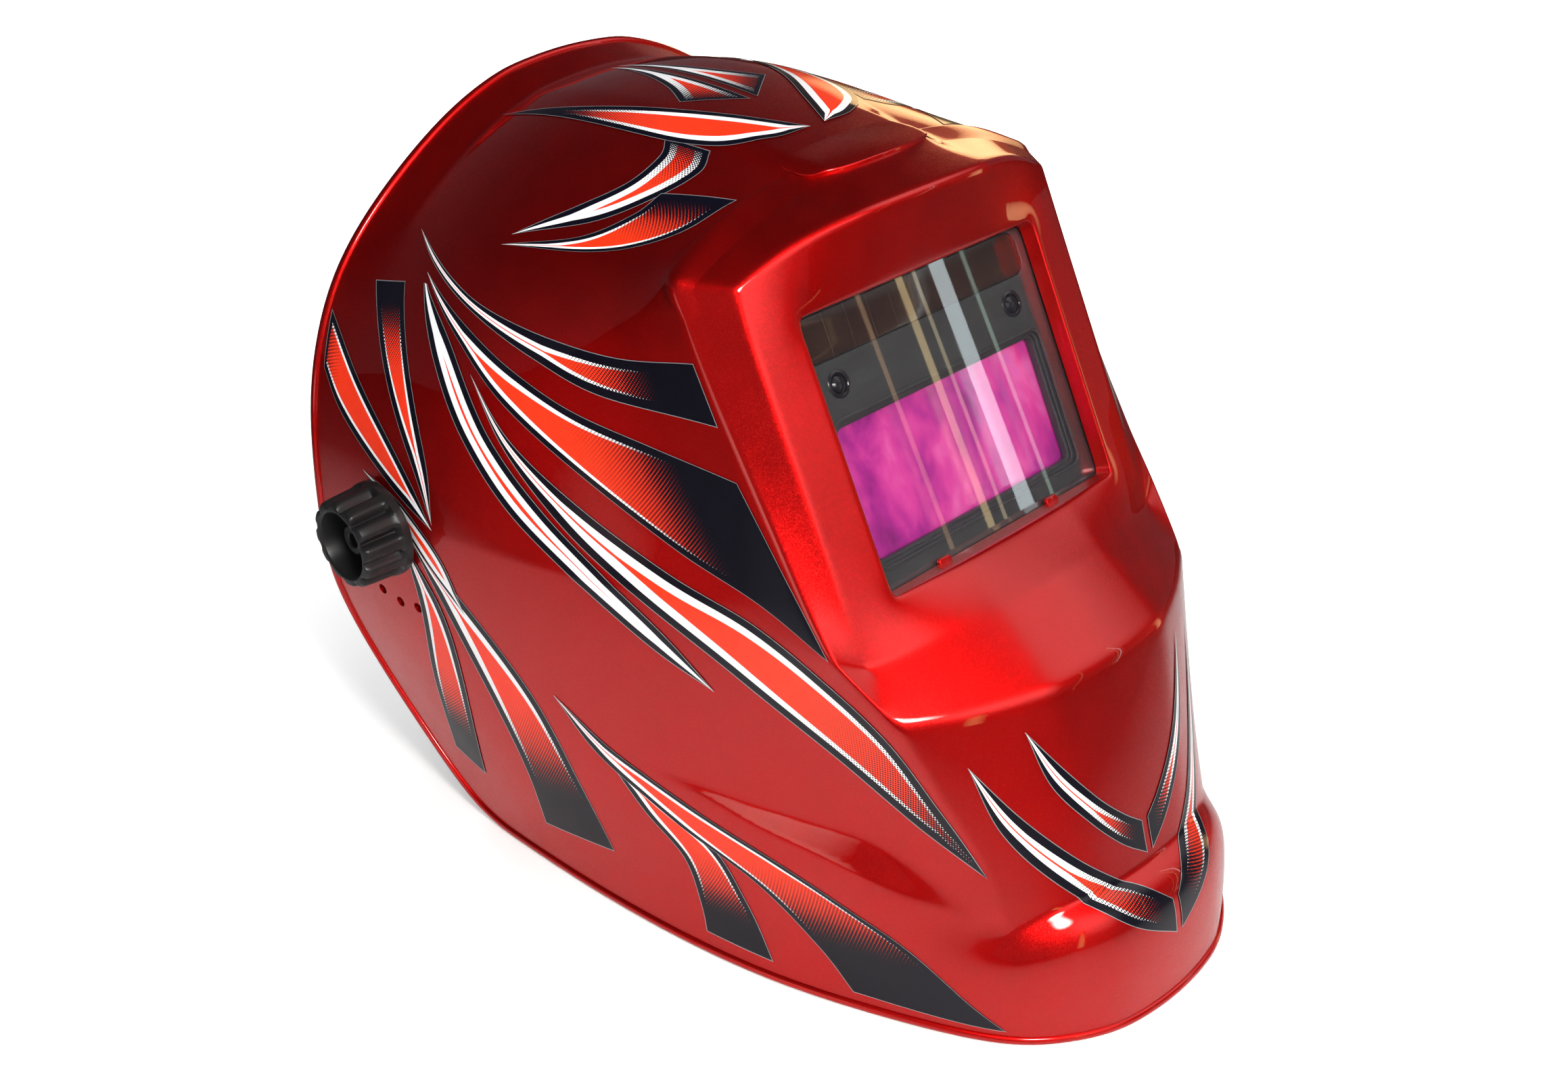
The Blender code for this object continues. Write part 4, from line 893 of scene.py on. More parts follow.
def stripes():
    verts, norms, fades, prints, faces, inks = [], [], [], [], [], []
    for number, (A, B, band, white, f0, f1) in enumerate(STRIPES):
        lift = LIFT + 0.05 * (number % 4)
        fa, da = curve_points(A, 0)
        fb, db = curve_points(B, 0)
        length = (da[-1] + db[-1]) / 2
        ends = (Vector(A[-1]) - Vector(B[-1])).length
        blunt = ends > 1.0
        n = max(8, int(length / 1.0))
        ts = [i / n for i in range(n + 1)]
        if blunt:
            cuts = [1 - band / length, 1 - 0.3 / length]
            ts = [t for t in ts if t < cuts[0] - 0.2 / length] + cuts + [1.0]
        wmax = max((at_share(fa, da, t) - at_share(fb, db, t)).length for t in ts)
        mid = max(1, int(wmax / 1.2))
        rows = []
        for t in ts:
            a, b = at_share(fa, da, t), at_share(fb, db, t)
            w = (a - b).length
            e = min(0.26, 0.15 * w)
            k = min(band * 1.35, 0.32 * w)
            wl = white * max(0.0, 1 - max(0.0, (t - f0 * 0.75) / max(1e-6, (f1 - f0 * 0.75)))) if f1 <= 1.05 else white
            wl = min(wl * 1.45, max(0.0, w / 2 - k) * (0.86 if f1 <= 1.05 else 1.0))
            r0, r1 = k + wl, w - k - wl
            us = [0.0, e, (e + k) / 2, k, k + wl] + [r0 + (r1 - r0) * i / mid for i in range(1, mid)] + [r1, w - k, w - (e + k) / 2, w - e, w]
            row = []
            fade = max(0.0, min(1.0, (t - f0) / (f1 - f0)))
            for u in us:
                q = a.lerp(b, u / w) if w > 1e-6 else a
                co, nor = on_shell(place(*q))
                verts.append(co + nor * lift * MM)
                norms.append(nor)
                fades.append(fade)
                prints.append((t * length, u - w / 2, 0.0))
                row.append(len(verts) - 1)
            rows.append((row, us, w, t))
        nc = len(rows[0][0])
        ink_of = [0, 1, 1, 2] + [3] * mid + [2, 1, 1, 0]
        for (r0, u0, w0, t0), (r1, u1, w1, t1) in zip(rows[:-1], rows[1:]):
            for c in range(nc - 1):
                z0, z1 = u0[c + 1] - u0[c] < 1e-4, u1[c + 1] - u1[c] < 1e-4
                if z0 and z1:
                    continue
                quad = [r0[c], r0[c + 1], r1[c + 1], r1[c]]
                if z0:
                    quad = [r0[c], r1[c + 1], r1[c]]
                elif z1:
                    quad = [r0[c], r0[c + 1], r1[c]]
                ink = ink_of[c]
                if blunt:
                    if t0 >= 1 - 0.31 / length:
                        ink = 0
                    elif t0 >= 1 - (band + 0.01) / length:
                        ink = min(ink, 1)
                faces.append(quad)
                inks.append(ink)
    nv = len(verts)
    allv = [tuple(v) for v in verts] + [(-v.x, v.y, v.z) for v in verts]
    alln = [tuple(v) for v in norms] + [(-v.x, v.y, v.z) for v in norms]
    allf = [list(f) for f in faces] + [[i + nv for i in reversed(f)] for f in faces]
    me = bpy.data.meshes.new("shell_stripes")
    me.from_pydata(allv, [], allf)
    me.update()
    # turn every face outwards
    flip = []
    for p in me.polygons:
        if p.normal.dot(Vector(alln[p.vertices[0]])) < 0:
            flip.append(p.index)
    if flip:
        bm = bmesh.new()
        bm.from_mesh(me)
        bm.faces.ensure_lookup_table()
        for i in flip:
            bm.faces[i].normal_flip()
        bm.to_mesh(me)
        bm.free()
    at = me.attributes.new("ink", 'FLOAT', 'FACE')
    at.data.foreach_set("value", inks + inks)
    at = me.attributes.new("fade", 'FLOAT', 'POINT')
    at.data.foreach_set("value", fades + fades)
    at = me.attributes.new("print_mm", 'FLOAT_VECTOR', 'POINT')
    at.data.foreach_set("vector", [c for p in prints + prints for c in p])
    for p in me.polygons:
        p.use_smooth = True
    me.normals_split_custom_set_from_vertices(alln)
    me.materials.append(M_STRIPE)
    return link("shell_stripes", me)


deco = stripes()
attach(deco, "shell_assembly")
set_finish(deco, "shell_paint")


# ---------------------------------------------------------------- raised step and pad
LIP = [(-0.02, -0.22), (0.14, 0.60), (0.34, 0.90), (0.62, 1.0)]


def ease(t):
    t = max(0.0, min(1.0, t))
    return t * t * (3 - 2 * t)


def raised(name, grid, height):
    """Sheet of paint lifted over the shell: grid rows run in from a crisp lip; mirrored."""
    verts, norms, faces = [], [], []
    for i, line in enumerate(grid):
        near = [on_shell(place(*q)) for _, q in line]
        hs = [height(i, v, q) for v, q in line]
        for j, (co, nor) in enumerate(near):
            a, b = max(0, j - 1), min(len(line) - 1, j + 1)
            run = Vector(line[b][1]) - Vector(line[a][1])
            slope = (hs[b] - hs[a]) / max(line[b][0] - line[a][0], 1e-6)
            t = (run - nor * run.dot(nor)).normalized()
            verts.append(co + nor * hs[j] * MM)
            norms.append((nor - t * slope).normalized())
    k = len(grid[0])
    for i in range(len(grid) - 1):
        for j in range(k - 1):
            faces.append([i * k + j, (i + 1) * k + j, (i + 1) * k + j + 1, i * k + j + 1])
    nv = len(verts)
    allv = [tuple(v) for v in verts] + [(-v.x, v.y, v.z) for v in verts]
    alln = [tuple(v) for v in norms] + [(-v.x, v.y, v.z) for v in norms]
    allf = faces + [[q + nv for q in reversed(f)] for f in faces]
    probe = faces[len(faces) // 2]
    n = (verts[probe[1]] - verts[probe[0]]).cross(verts[probe[2]] - verts[probe[0]])
    if n.dot(norms[probe[0]]) < 0:
        allf = [list(reversed(f)) for f in allf]
    me = bpy.data.meshes.new(name)
    me.from_pydata(allv, [], allf)
    me.update()
    for p in me.polygons:
        p.use_smooth = True
    me.normals_split_custom_set_from_vertices(alln)
    me.materials.append(M_PAINT)
    ob = link(name, me)
    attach(ob, "shell_assembly")
    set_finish(ob, "shell_paint")
    return ob


def lip(v):
    return table(LIP, v) if v < LIP[-1][0] else 1.0


arch, arch_d = curve_points([(-79.5, 41, 38), (-79, 46, 46), (-76.5, 49, 50.8), (-66, 49.5, 57.5), (-55, 49.5, 61.5), (-47, 50, 63.5),
                             (-36, 50, 65.5), (-26.5, 49.8, 67)], 0)
STEPS = [-0.02, 0.14, 0.34, 0.62, 1.2, 2.2, 3.6, 5.2, 7.0, 9.0, 11.0, 13.0, 15.0]
grid = []
for i in range(61):
    p = at_share(arch, arch_d, i / 60)
    grid.append([(v, (p.x, p.y - v, p.z)) for v in STEPS])
raised("box_top_step", grid, lambda i, v, q: (0.95 * lip(v) + 0.2) * (1 - ease(v / 14.5)) * ease(i / 9) - 0.2)

edge, edge_d = curve_points([(-26.5, 62, 70), (-26.5, 54, 70), (-26.5, 46.5, 70), (-24.6, 40.8, 70), (-19, 37.6, 70), (-10, 35.8, 70), (0, 35.2, 70)], 0)
grid = []
for i in range(57):
    p = at_share(edge, edge_d, i / 56)
    c = Vector((p.x * 0.25, 60.0 if p.y < 58 else p.y + 2.0, 70.0))
    reach = (c - p).length
    line = []
    for v in [-0.02, 0.14, 0.34, 0.62, 1.2, 2.4, 4.2, 6.5] + [6.5 + (reach - 6.5) * k / 5 for k in range(1, 6)]:
        q = p.lerp(c, v / reach)
        line.append((v, top_of(q.x, q.y)))
    grid.append(line)
raised("crown_pad", grid, lambda i, v, q: (1.15 * lip(v) + 0.2) * (1 - ease((q[1] - 42.0) / 17.0)) - 0.2)


# ---------------------------------------------------------------- finishes for the small parts
def lens_material():
    m = Mat("clear_cover")
    m.put(m.bsdf.inputs["Base Color"], m.mix(m.noise(40, 2, 0.5), rgb(0.93, 0.95, 0.95), rgb(0.97, 0.98, 0.98)))
    m.set(Transmission_Weight=1.0, IOR=1.49)
    m.put(m.bsdf.inputs["Roughness"], m.span(m.noise(30, 3, 0.6), 0.35, 0.75, 0.0, 0.02))
    clear = m.node("ShaderNodeBsdfTransparent")
    lp = m.node("ShaderNodeLightPath")
    mix = m.node("ShaderNodeMixShader")
    m.put(mix.inputs[0], lp.outputs["Is Shadow Ray"])
    m.put(mix.inputs[1], m.bsdf.outputs[0])
    m.put(mix.inputs[2], clear.outputs[0])
    m.put(m.out.inputs["Surface"], mix.outputs[0])
    return m.mat


def filter_material():
    m = Mat("magenta_filter")
    co = m.coord()
    turn = m.node("ShaderNodeMapping")
    m.put(turn.inputs["Vector"], co)
    turn.inputs["Rotation"].default_value = (0.0, 0.75, 0.0)
    turn.inputs["Scale"].default_value = (1.0, 1.0, 0.38)
    warp = m.noise(30, 2, 0.5, co, 1)
    v = m.vmath("ADD", turn.outputs[0], m.vmath("SCALE", warp, scale=0.012))
    # painted reflection: the blotchy light and dark patches over the magenta tint stand in for reflections in the
    # filter's mirror coating
    reflection_blots = m.math("ADD", m.math("MULTIPLY", m.noise(62, 3, 0.55, v), 0.8), m.math("MULTIPLY", m.noise(150, 3, 0.6, v), 0.25))
    col = m.ramp(reflection_blots, [(0.30, (0.16, 0.006, 0.12)), (0.44, (0.36, 0.016, 0.22)), (0.56, (0.56, 0.040, 0.27)),
                        (0.68, (0.68, 0.110, 0.36)), (0.80, (0.40, 0.050, 0.48))])
    m.put(m.bsdf.inputs["Base Color"], col)
    m.set(Metallic=0.35, Coat_Weight=1.0, Coat_Roughness=0.03)
    m.put(m.bsdf.inputs["Roughness"], m.span(m.noise(120, 2, 0.5, co), 0.3, 0.7, 0.16, 0.24))
    # painted light: the filter glows faintly in its own colours, though it is no lamp
    m.put(m.bsdf.inputs["Emission Color"], col)
    m.bsdf.inputs["Emission Strength"].default_value = 0.12
    return m.mat


def solar_material():
    m = Mat("amorphous_cell")
    co = m.coord()
    x = m.split(co)[0]
    line = m.math("LESS_THAN", m.math("FRACT", m.math("MULTIPLY", x, 1 / 0.0095)), 0.035)
    base = m.mix(m.noise(40, 4, 0.6, co), rgb(0.010, 0.006, 0.006), rgb(0.030, 0.014, 0.010))
    m.put(m.bsdf.inputs["Base Color"], m.mix(line, base, rgb(0.035, 0.022, 0.016)))
    m.put(m.bsdf.inputs["Roughness"], m.span(m.noise(60, 2, 0.5, co), 0.3, 0.7, 0.08, 0.13))
    m.set(Coat_Weight=0.4, Coat_Roughness=0.03)
    return m.mat


def metal(name, a, b, rough=0.28):
    m = Mat(name)
    m.put(m.bsdf.inputs["Base Color"], m.mix(m.noise(90, 3, 0.6), rgb(*a), rgb(*b)))
    m.set(Metallic=1.0)
    m.put(m.bsdf.inputs["Roughness"], m.span(m.noise(400, 4, 0.7), 0.3, 0.7, rough - 0.06, rough + 0.08))
    m.put(m.bsdf.inputs["Normal"], m.bump(m.noise(2600, 2, 0.5), 0.12, 0.00005))
    return m.mat


def board_material():
    m = Mat("solder_mask")
    co = m.coord()
    tr = m.node("ShaderNodeTexBrick")
    m.put(tr.inputs["Vector"], co)
    tr.inputs["Scale"].default_value = 160
    tr.inputs["Mortar Size"].default_value = 0.06
    m.put(m.bsdf.inputs["Base Color"], m.mix(tr.outputs["Fac"], m.mix(m.noise(120, 3), rgb(0.01, 0.09, 0.035), rgb(0.02, 0.14, 0.06)), rgb(0.05, 0.22, 0.09)))
    m.put(m.bsdf.inputs["Roughness"], m.span(m.noise(200, 3), 0.3, 0.7, 0.3, 0.5))
    return m.mat


def fabric_material(name, a, b, scale=900, depth=0.0004):
    """Fine knitted cloth: crossed waves with a fuzzy break-up; the colour is darker in the knit's low parts, as painted
    shade.
    """
    m = Mat(name)
    co = m.coord()
    knit = m.node("ShaderNodeTexVoronoi", feature="SMOOTH_F1")
    m.put(knit.inputs["Vector"], co)
    knit.inputs["Scale"].default_value = scale
    fuzz = m.noise(scale * 2.2, 4, 0.7, co)
    h = m.math("ADD", m.math("MULTIPLY", knit.outputs["Distance"], 0.9), m.math("MULTIPLY", fuzz, 0.6))
    # painted shade: the colour follows the knit height, darker in the low parts, mixed with a random tone from the
    # coarse noise
    shade = m.math("ADD", m.math("MULTIPLY", h, 0.55), m.math("MULTIPLY", m.noise(45, 3, 0.6, co), 0.45))
    m.put(m.bsdf.inputs["Base Color"], m.mix(m.span(shade, 0.25, 0.8, 0.0, 1.0), rgb(*a), rgb(*b)))
    m.put(m.bsdf.inputs["Roughness"], m.span(fuzz, 0.3, 0.7, 0.86, 0.98))
    m.put(m.bsdf.inputs["Normal"], m.bump(h, 0.8, depth))
    m.set(Sheen_Weight=0.35, Sheen_Roughness=0.5)
    m.bsdf.inputs["Specular IOR Level"].default_value = 0.2
    return m.mat


M_LENS = lens_material()
M_FILTER = filter_material()
M_SOLAR = solar_material()
M_NICKEL = metal("satin_nickel", (0.55, 0.55, 0.53), (0.66, 0.65, 0.62))
M_BOARD = board_material()
M_BLACK = plastic("knob_black", (0.006, 0.006, 0.007), (0.012, 0.012, 0.013), 0.40, 2000, 0.00009, spec=0.4)
M_GREY = plastic("cartridge_grey", (0.012, 0.012, 0.014), (0.020, 0.020, 0.022), 0.50, 2600, 0.00010)
M_STRAP = plastic("strap_dark", (0.045, 0.045, 0.049), (0.068, 0.068, 0.073), 0.46, 1500, 0.00010)
M_NYLON = plastic("natural_nylon", (0.62, 0.60, 0.54), (0.72, 0.70, 0.64), 0.42, 1200, 0.00008)
M_DOME = plastic("sensor_gloss", (0.006, 0.006, 0.008), (0.012, 0.010, 0.014), 0.08, 900, 0.00001, 0.02)
M_CLOTH = fabric_material("sweat_cloth", (0.020, 0.020, 0.024), (0.085, 0.085, 0.095))
M_PIPING = fabric_material("edge_binding", (0.040, 0.040, 0.044), (0.12, 0.12, 0.13), 1500, 0.0002)
M_THREAD = fabric_material("thread", (0.10, 0.10, 0.11), (0.24, 0.24, 0.25), 2600, 0.0001)
M_MARK = plastic("printed_mark", (0.60, 0.60, 0.62), (0.70, 0.70, 0.72), 0.5, 1400, 0.00004)

FINISH = {
    "front_cover_lens": M_LENS, "inner_cover_lens": M_LENS, "adf_front_housing": M_GREY, "adf_rear_housing": M_GREY,
    "adf_filter_glass": M_FILTER, "solar_cell": M_SOLAR, "arc_sensor_left": M_DOME, "arc_sensor_right": M_DOME,
    "adf_circuit_board": M_BOARD, "adf_battery_left": M_NICKEL, "adf_battery_right": M_NICKEL,
    "cartridge_retainer": M_BLACK, "retainer_hinge_rod": M_NICKEL, "shade_dial": M_BLACK, "sensitivity_dial": M_BLACK,
    "delay_dial": M_BLACK, "tilt_knob_left": M_BLACK, "tilt_knob_right": M_BLACK, "pivot_bolt_left": M_NICKEL,
    "pivot_bolt_right": M_NICKEL, "friction_washer_left": M_NYLON, "friction_washer_right": M_NYLON,
    "angle_stop_left": M_BLACK, "angle_stop_right": M_BLACK, "tilt_arm_left": M_STRAP, "tilt_arm_right": M_STRAP,
    "fore_aft_rail_left": M_BLACK, "fore_aft_rail_right": M_BLACK, "headband_front": M_STRAP, "sweatband": M_CLOTH,
    "crown_strap_left": M_STRAP, "crown_strap_right": M_STRAP, "crown_peg": M_BLACK, "rear_strap_left": M_STRAP,
    "rear_strap_right": M_STRAP, "ratchet_housing_inner": M_BLACK, "ratchet_housing_outer": M_BLACK,
    "ratchet_pinion": M_NYLON, "ratchet_knob": M_BLACK, "nape_pad": M_CLOTH, "shell": M_PAINT,
}
for node, mat in FINISH.items():
    ob = frame["nodes"][node]
    for s in ob.material_slots:
        s.link = 'OBJECT'
        s.material = mat


def soften(node, width=0.35, segments=2, angle=35):
    """Rounded edges on a CAD node, as a modifier."""
    ob = frame["nodes"][node]
    mod = ob.modifiers.new("edge", 'BEVEL')
    mod.width = width * MM
    mod.segments = segments
    mod.limit_method = 'ANGLE'
    mod.angle_limit = math.radians(angle)
    mod.use_clamp_overlap = True
    mod.harden_normals = False
    return ob


for node, w in (("tilt_arm_left", 0.6), ("tilt_arm_right", 0.6), ("fore_aft_rail_left", 0.3), ("fore_aft_rail_right", 0.3),
                ("cartridge_retainer", 0.4), ("ratchet_housing_outer", 0.5), ("ratchet_housing_inner", 0.3),
                ("angle_stop_left", 0.2), ("angle_stop_right", 0.2)):
    soften(node, w)

# ---------------------------------------------------------------- flat outlines
PLATE_M = LENS_M @ Matrix.Rotation(math.radians(90), 4, 'X')     # local x, up, and z towards the front


def rounded(x0, x1, y0, y1, r, n=6):
    out = []
    for cx, cy, a0 in ((x1 - r, y1 - r, 0), (x0 + r, y1 - r, 90), (x0 + r, y0 + r, 180), (x1 - r, y0 + r, 270)):
        for i in range(n + 1):
            a = math.radians(a0 + 90 * i / n)
            out.append((cx + r * math.cos(a), cy + r * math.sin(a)))
    return out


def ring_points(cx, cy, r, n=28):
    return [(cx + r * math.cos(2 * math.pi * i / n), cy + r * math.sin(2 * math.pi * i / n)) for i in range(n)]


def slab(name, loops, z0, z1, m, mat, bevel=0.3, body="shell_assembly", nodes=(), slot=None):
    """Extrude flat outlines between two local heights (mm) with rounded edges."""
    cu = bpy.data.curves.new(name, 'CURVE')
    cu.dimensions = '2D'
    cu.fill_mode = 'BOTH'
    cu.extrude = max(0.0, (z1 - z0) / 2 - bevel) * MM
    cu.bevel_depth = bevel * MM
    cu.bevel_resolution = 2
    cu.offset = -bevel * MM
    for loop in loops:
        sp = cu.splines.new('POLY')
        sp.points.add(len(loop) - 1)
        for p, (x, y) in zip(sp.points, loop):
            p.co = (x * MM, y * MM, 0, 1)
        sp.use_cyclic_u = True
    tmp = link(name + "_c", cu)
    bpy.context.view_layer.update()
    dg = bpy.context.evaluated_depsgraph_get()
    me = bpy.data.meshes.new_from_object(tmp.evaluated_get(dg))
    bpy.data.objects.remove(tmp, do_unlink=True)
    bm = bmesh.new()
    bm.from_mesh(me)
    bmesh.ops.remove_doubles(bm, verts=bm.verts, dist=2e-6)
    bmesh.ops.recalc_face_normals(bm, faces=bm.faces)
    bm.to_mesh(me)
    bm.free()
    ob = link(name, me)
    me.transform(m @ Matrix.Translation((0, 0, (z0 + z1) / 2 * MM)))
    smooth_by_angle(ob, 32)
    me.materials.clear()
    me.materials.append(mat)
    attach(ob, body)
    if nodes:
        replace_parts(ob, *nodes)
    if slot:
        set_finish(ob, slot)
    return ob


def revolve(name, profile, m, mat, n=72, wave=None, body="shell_assembly", nodes=(), slot=None, sharp=38):
    """Revolve (radius, height) stations about local Z; wave(angle, k) scales the radius of marked stations."""
    bm = bmesh.new()
    rings = []
    for st in profile:
        r, h = st[0], st[1]
        k = st[2] if len(st) > 2 else 0.0
        if r < 1e-6:
            rings.append([bm.verts.new(m @ Vector((0, 0, h * MM)))])
            continue
        row = []
        for i in range(n):
            a = 2 * math.pi * i / n
            rr = r - (wave(a) * k if wave else 0.0)
            row.append(bm.verts.new(m @ Vector((rr * math.cos(a) * MM, rr * math.sin(a) * MM, h * MM))))
        rings.append(row)
    for a, b in zip(rings[:-1], rings[1:]):
        if len(a) == 1 and len(b) == 1:
            continue
        for i in range(n):
            j = (i + 1) % n
            if len(a) == 1:
                bm.faces.new((a[0], b[i], b[j]))
            elif len(b) == 1:
                bm.faces.new((a[i], b[0], a[j]))
            else:
                bm.faces.new((a[i], b[i], b[j], a[j]))
    bmesh.ops.recalc_face_normals(bm, faces=bm.faces)
    me = bpy.data.meshes.new(name)
    bm.to_mesh(me)
    bm.free()
    ob = link(name, me)
    smooth_by_angle(ob, sharp)
    me.materials.append(mat)
    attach(ob, body)
    if nodes:
        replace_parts(ob, *nodes)
    if slot:
        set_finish(ob, slot)
    return ob


def join(name, obs):
    """Merge several new meshes with one material into one piece."""
    bm = bmesh.new()
    for o in obs:
        me = o.data.copy()
        me.transform(o.matrix_world)
        bm.from_mesh(me)
        bpy.data.meshes.remove(me)
    me = bpy.data.meshes.new(name)
    bm.to_mesh(me)
    bm.free()
    me.materials.append(obs[0].data.materials[0])
    body, slot = obs[0].get("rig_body"), obs[0].get("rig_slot")
    nodes = sorted({n for o in obs for n in list(o.get("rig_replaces", []))})
    for o in obs:
        bpy.data.objects.remove(o, do_unlink=True)
    ob = link(name, me)
    if body:
        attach(ob, body)
    if nodes:
        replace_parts(ob, *nodes)
    if slot:
        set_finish(ob, slot)
    return ob


# ---------------------------------------------------------------- lens cartridge
WIN = (-45.0, 46.0, -34.4, 7.6)
FRONT_BACK, FRONT_T = 7.3, 5.2
SENSOR_X, SENSOR_UP = 40.0, 20.3
REAR_BACK = FRONT_BACK + FRONT_T + 0.3
BACK_FACE = REAR_BACK + 7.2

case = rounded(-55, 55, -45, 45, 3.0)
win = rounded(WIN[0], WIN[1], WIN[2], WIN[3], 2.2)
step1 = rounded(WIN[0] - 0.9, WIN[1] + 0.9, WIN[2] - 0.9, WIN[3] + 0.9, 2.8)
step2 = rounded(WIN[0] - 1.9, WIN[1] + 1.9, WIN[2] - 1.9, WIN[3] + 1.9, 3.4)
pill = rounded(-50.0, 50.5, 27.9, 42.4, 4.8, 10)
sensors = [ring_points(s * SENSOR_X, SENSOR_UP, 3.25) for s in (-1, 1)]
slab("adf_case_back", [case, win] + sensors, -12.5, -9.6, PLATE_M, M_GREY, 0.3, nodes=("adf_front_housing",), slot="grey_plastic")
slab("adf_case_step", [case, step1] + sensors, -9.58, -8.7, PLATE_M, M_GREY, 0.2, slot="grey_plastic")
slab("adf_case_face", [case, step2, pill] + sensors, -8.68, -7.3, PLATE_M, M_GREY, 0.25, slot="grey_plastic")
slab("solar_strip", [rounded(-49.7, 50.2, 28.2, 42.1, 4.6, 10)], -8.66, -7.75, PLATE_M, M_SOLAR, 0.2, nodes=("solar_cell",), slot="solar_cell")
for sx, nm in ((-1, "right"), (1, "left")):
    at = PLATE_M @ Matrix.Translation((sx * SENSOR_X * MM, SENSOR_UP * MM, -FRONT_BACK * MM))
    revolve("sensor_bezel_" + nm, [(3.2, -0.6), (3.2, 0.15), (3.5, 0.35), (4.1, 0.3), (4.45, 0.05), (4.45, -0.02)], at, M_DOME, 40, slot="sensor_dome")
# raised frame line round the window face and the edge of the cartridge
slab("window_lip", [rounded(-48.2, 49.2, -37.6, 10.8, 4.2), rounded(-47.3, 48.3, -36.7, 9.9, 3.6)], -7.32, -7.12, PLATE_M, M_GREY, 0.08, slot="grey_plastic")

# tabs that hold the cover lens along the lower edge of the opening
for i, x in enumerate((-25.0, 27.0)):
    slab("lens_tab_%d" % (i + 1), [rounded(x - 2.7, x + 2.7, -45.5, -41.2, 1.0)], -5.1, -3.6, PLATE_M, M_PAINT, 0.35, slot="shell_paint")

# dials with a pointer and scale marks on the cartridge's back
DIAL_UP = 26.0
BACK_M = LENS_M @ Matrix.Rotation(math.radians(-90), 4, 'X')     # local z towards the back


def flute(n, width):
    def f(a):
        k = (a * n / (2 * math.pi)) % 1.0
        k = min(k, 1 - k) * 2
        return math.exp(-(k / width) ** 2)
    return f


for nm, body, dx in (("shade", "shade_control", -30.0), ("sensitivity", "sensitivity_control", 0.0), ("delay", "delay_control", 30.0)):
    at = LENS_M @ Matrix.Translation((dx * MM, BACK_FACE * MM, DIAL_UP * MM)) @ Matrix.Rotation(math.radians(-90), 4, 'X')
    revolve(nm + "_dial_grip", [(0, 3.5), (3.6, 3.5), (4.3, 3.45), (5.2, 3.3, 0.5), (5.8, 2.9, 1), (6.0, 2.4, 1), (6.0, 0.9, 1), (5.7, 0.35, 0.6),
                                (2.0, 0.3), (2.0, -4.0), (0, -4.0)], at, M_BLACK, 120, flute(20, 0.45), body=body, nodes=(nm + "_dial",), slot="black_plastic")
    bar = slab(nm + "_dial_mark", [rounded(-0.45, 0.45, 1.2, 5.0, 0.3)], 3.45, 3.62, LENS_M @ Matrix.Translation((dx * MM, BACK_FACE * MM, DIAL_UP * MM)) @ Matrix.Rotation(math.radians(-90), 4, 'X') @ Matrix.Rotation(math.pi, 4, 'Z'),
               M_MARK, 0.05, body=body, slot="black_plastic")
    ticks = []
    for i in range(11):
        a = math.radians(-135 + 27 * i)
        m = at @ Matrix.Rotation(math.pi - a, 4, 'Z')
        ticks.append(slab("tick", [rounded(-0.22, 0.22, 7.4, 9.0 if i % 5 else 9.8, 0.15)], -0.02, 0.10, m, M_MARK, 0.03, slot="grey_plastic"))
    join(nm + "_scale", ticks)

# battery drawers, ribs and corner screws on the back of the cartridge
for sx, nm in ((-1, "right"), (1, "left")):
    slab("battery_drawer_" + nm, [rounded(sx * 44 - 7.5, sx * 44 + 7.5, 16.5, 38, 1.5)], -BACK_FACE - 0.55, -BACK_FACE + 0.02, PLATE_M, M_GREY, 0.2, slot="grey_plastic")
    for j in range(4):
        slab("drawer_grip_%s_%d" % (nm, j + 1), [rounded(sx * 44 - 4.5, sx * 44 + 4.5, 30.0 + 1.7 * j, 30.8 + 1.7 * j, 0.35)],
             -BACK_FACE - 0.95, -BACK_FACE - 0.5, PLATE_M, M_GREY, 0.15, slot="grey_plastic")
for i, (x, u) in enumerate(((-52.3, 42.2), (52.3, 42.2), (-52.3, -42.2), (52.3, -42.2))):
    at = LENS_M @ Matrix.Translation((x * MM, BACK_FACE * MM, u * MM)) @ Matrix.Rotation(math.radians(-90), 4, 'X')
    revolve("case_screw_%d" % (i + 1), [(0, 0.35), (0.5, 0.35), (0.62, 0.8), (1.5, 0.75), (1.9, 0.3), (1.95, -0.05)], at, M_NICKEL, 28, slot="nickel")

# ---------------------------------------------------------------- tilt knobs
KNOB_X, KNOB_L = 118.7, 17.6
for side, nm in ((-1, "right"), (1, "left")):
    ax = axis_x(side) @ Matrix.Translation((0, 0, KNOB_X * MM))
    prof = [(0, 6.9), (1.9, 6.9), (2.3, 7.4), (2.4, 12.2), (2.9, 12.7), (4.7, 12.7), (5.2, 12.3), (5.5, 11.4), (5.7, 7.0), (6.3, 6.4), (9.6, 6.2),
            (10.3, 6.7), (11.2, 15.6), (11.6, 16.9), (12.3, 17.5), (13.3, 17.55, 0.15), (14.4, 17.3, 0.6), (15.1, 16.6, 0.9), (15.35, 15.6, 1),
            (15.6, 12.5, 1), (15.8, 8.5, 1), (15.95, 5.6, 1), (16.05, 4.3, 0.85), (16.3, 3.6, 0.35), (16.55, 3.1, 0), (16.6, 1.2), (16.45, 0.3),
            (16.0, 0.02), (5.4, 0.02), (5.4, 6.0), (0, 6.0)]
    revolve("tilt_grip_" + nm, prof, ax, M_BLACK, 216, lambda a: 2.6 * flute(12, 0.36)(a + 0.13), body="knob_" + nm, nodes=("tilt_knob_" + nm,), slot="black_plastic", sharp=30)


# ---------------------------------------------------------------- headgear
RING_Y, RING_A, RING_B = 178.0, 82.0, 102.0
BAND_Z, NAPE_Z = -50.0, -90.0


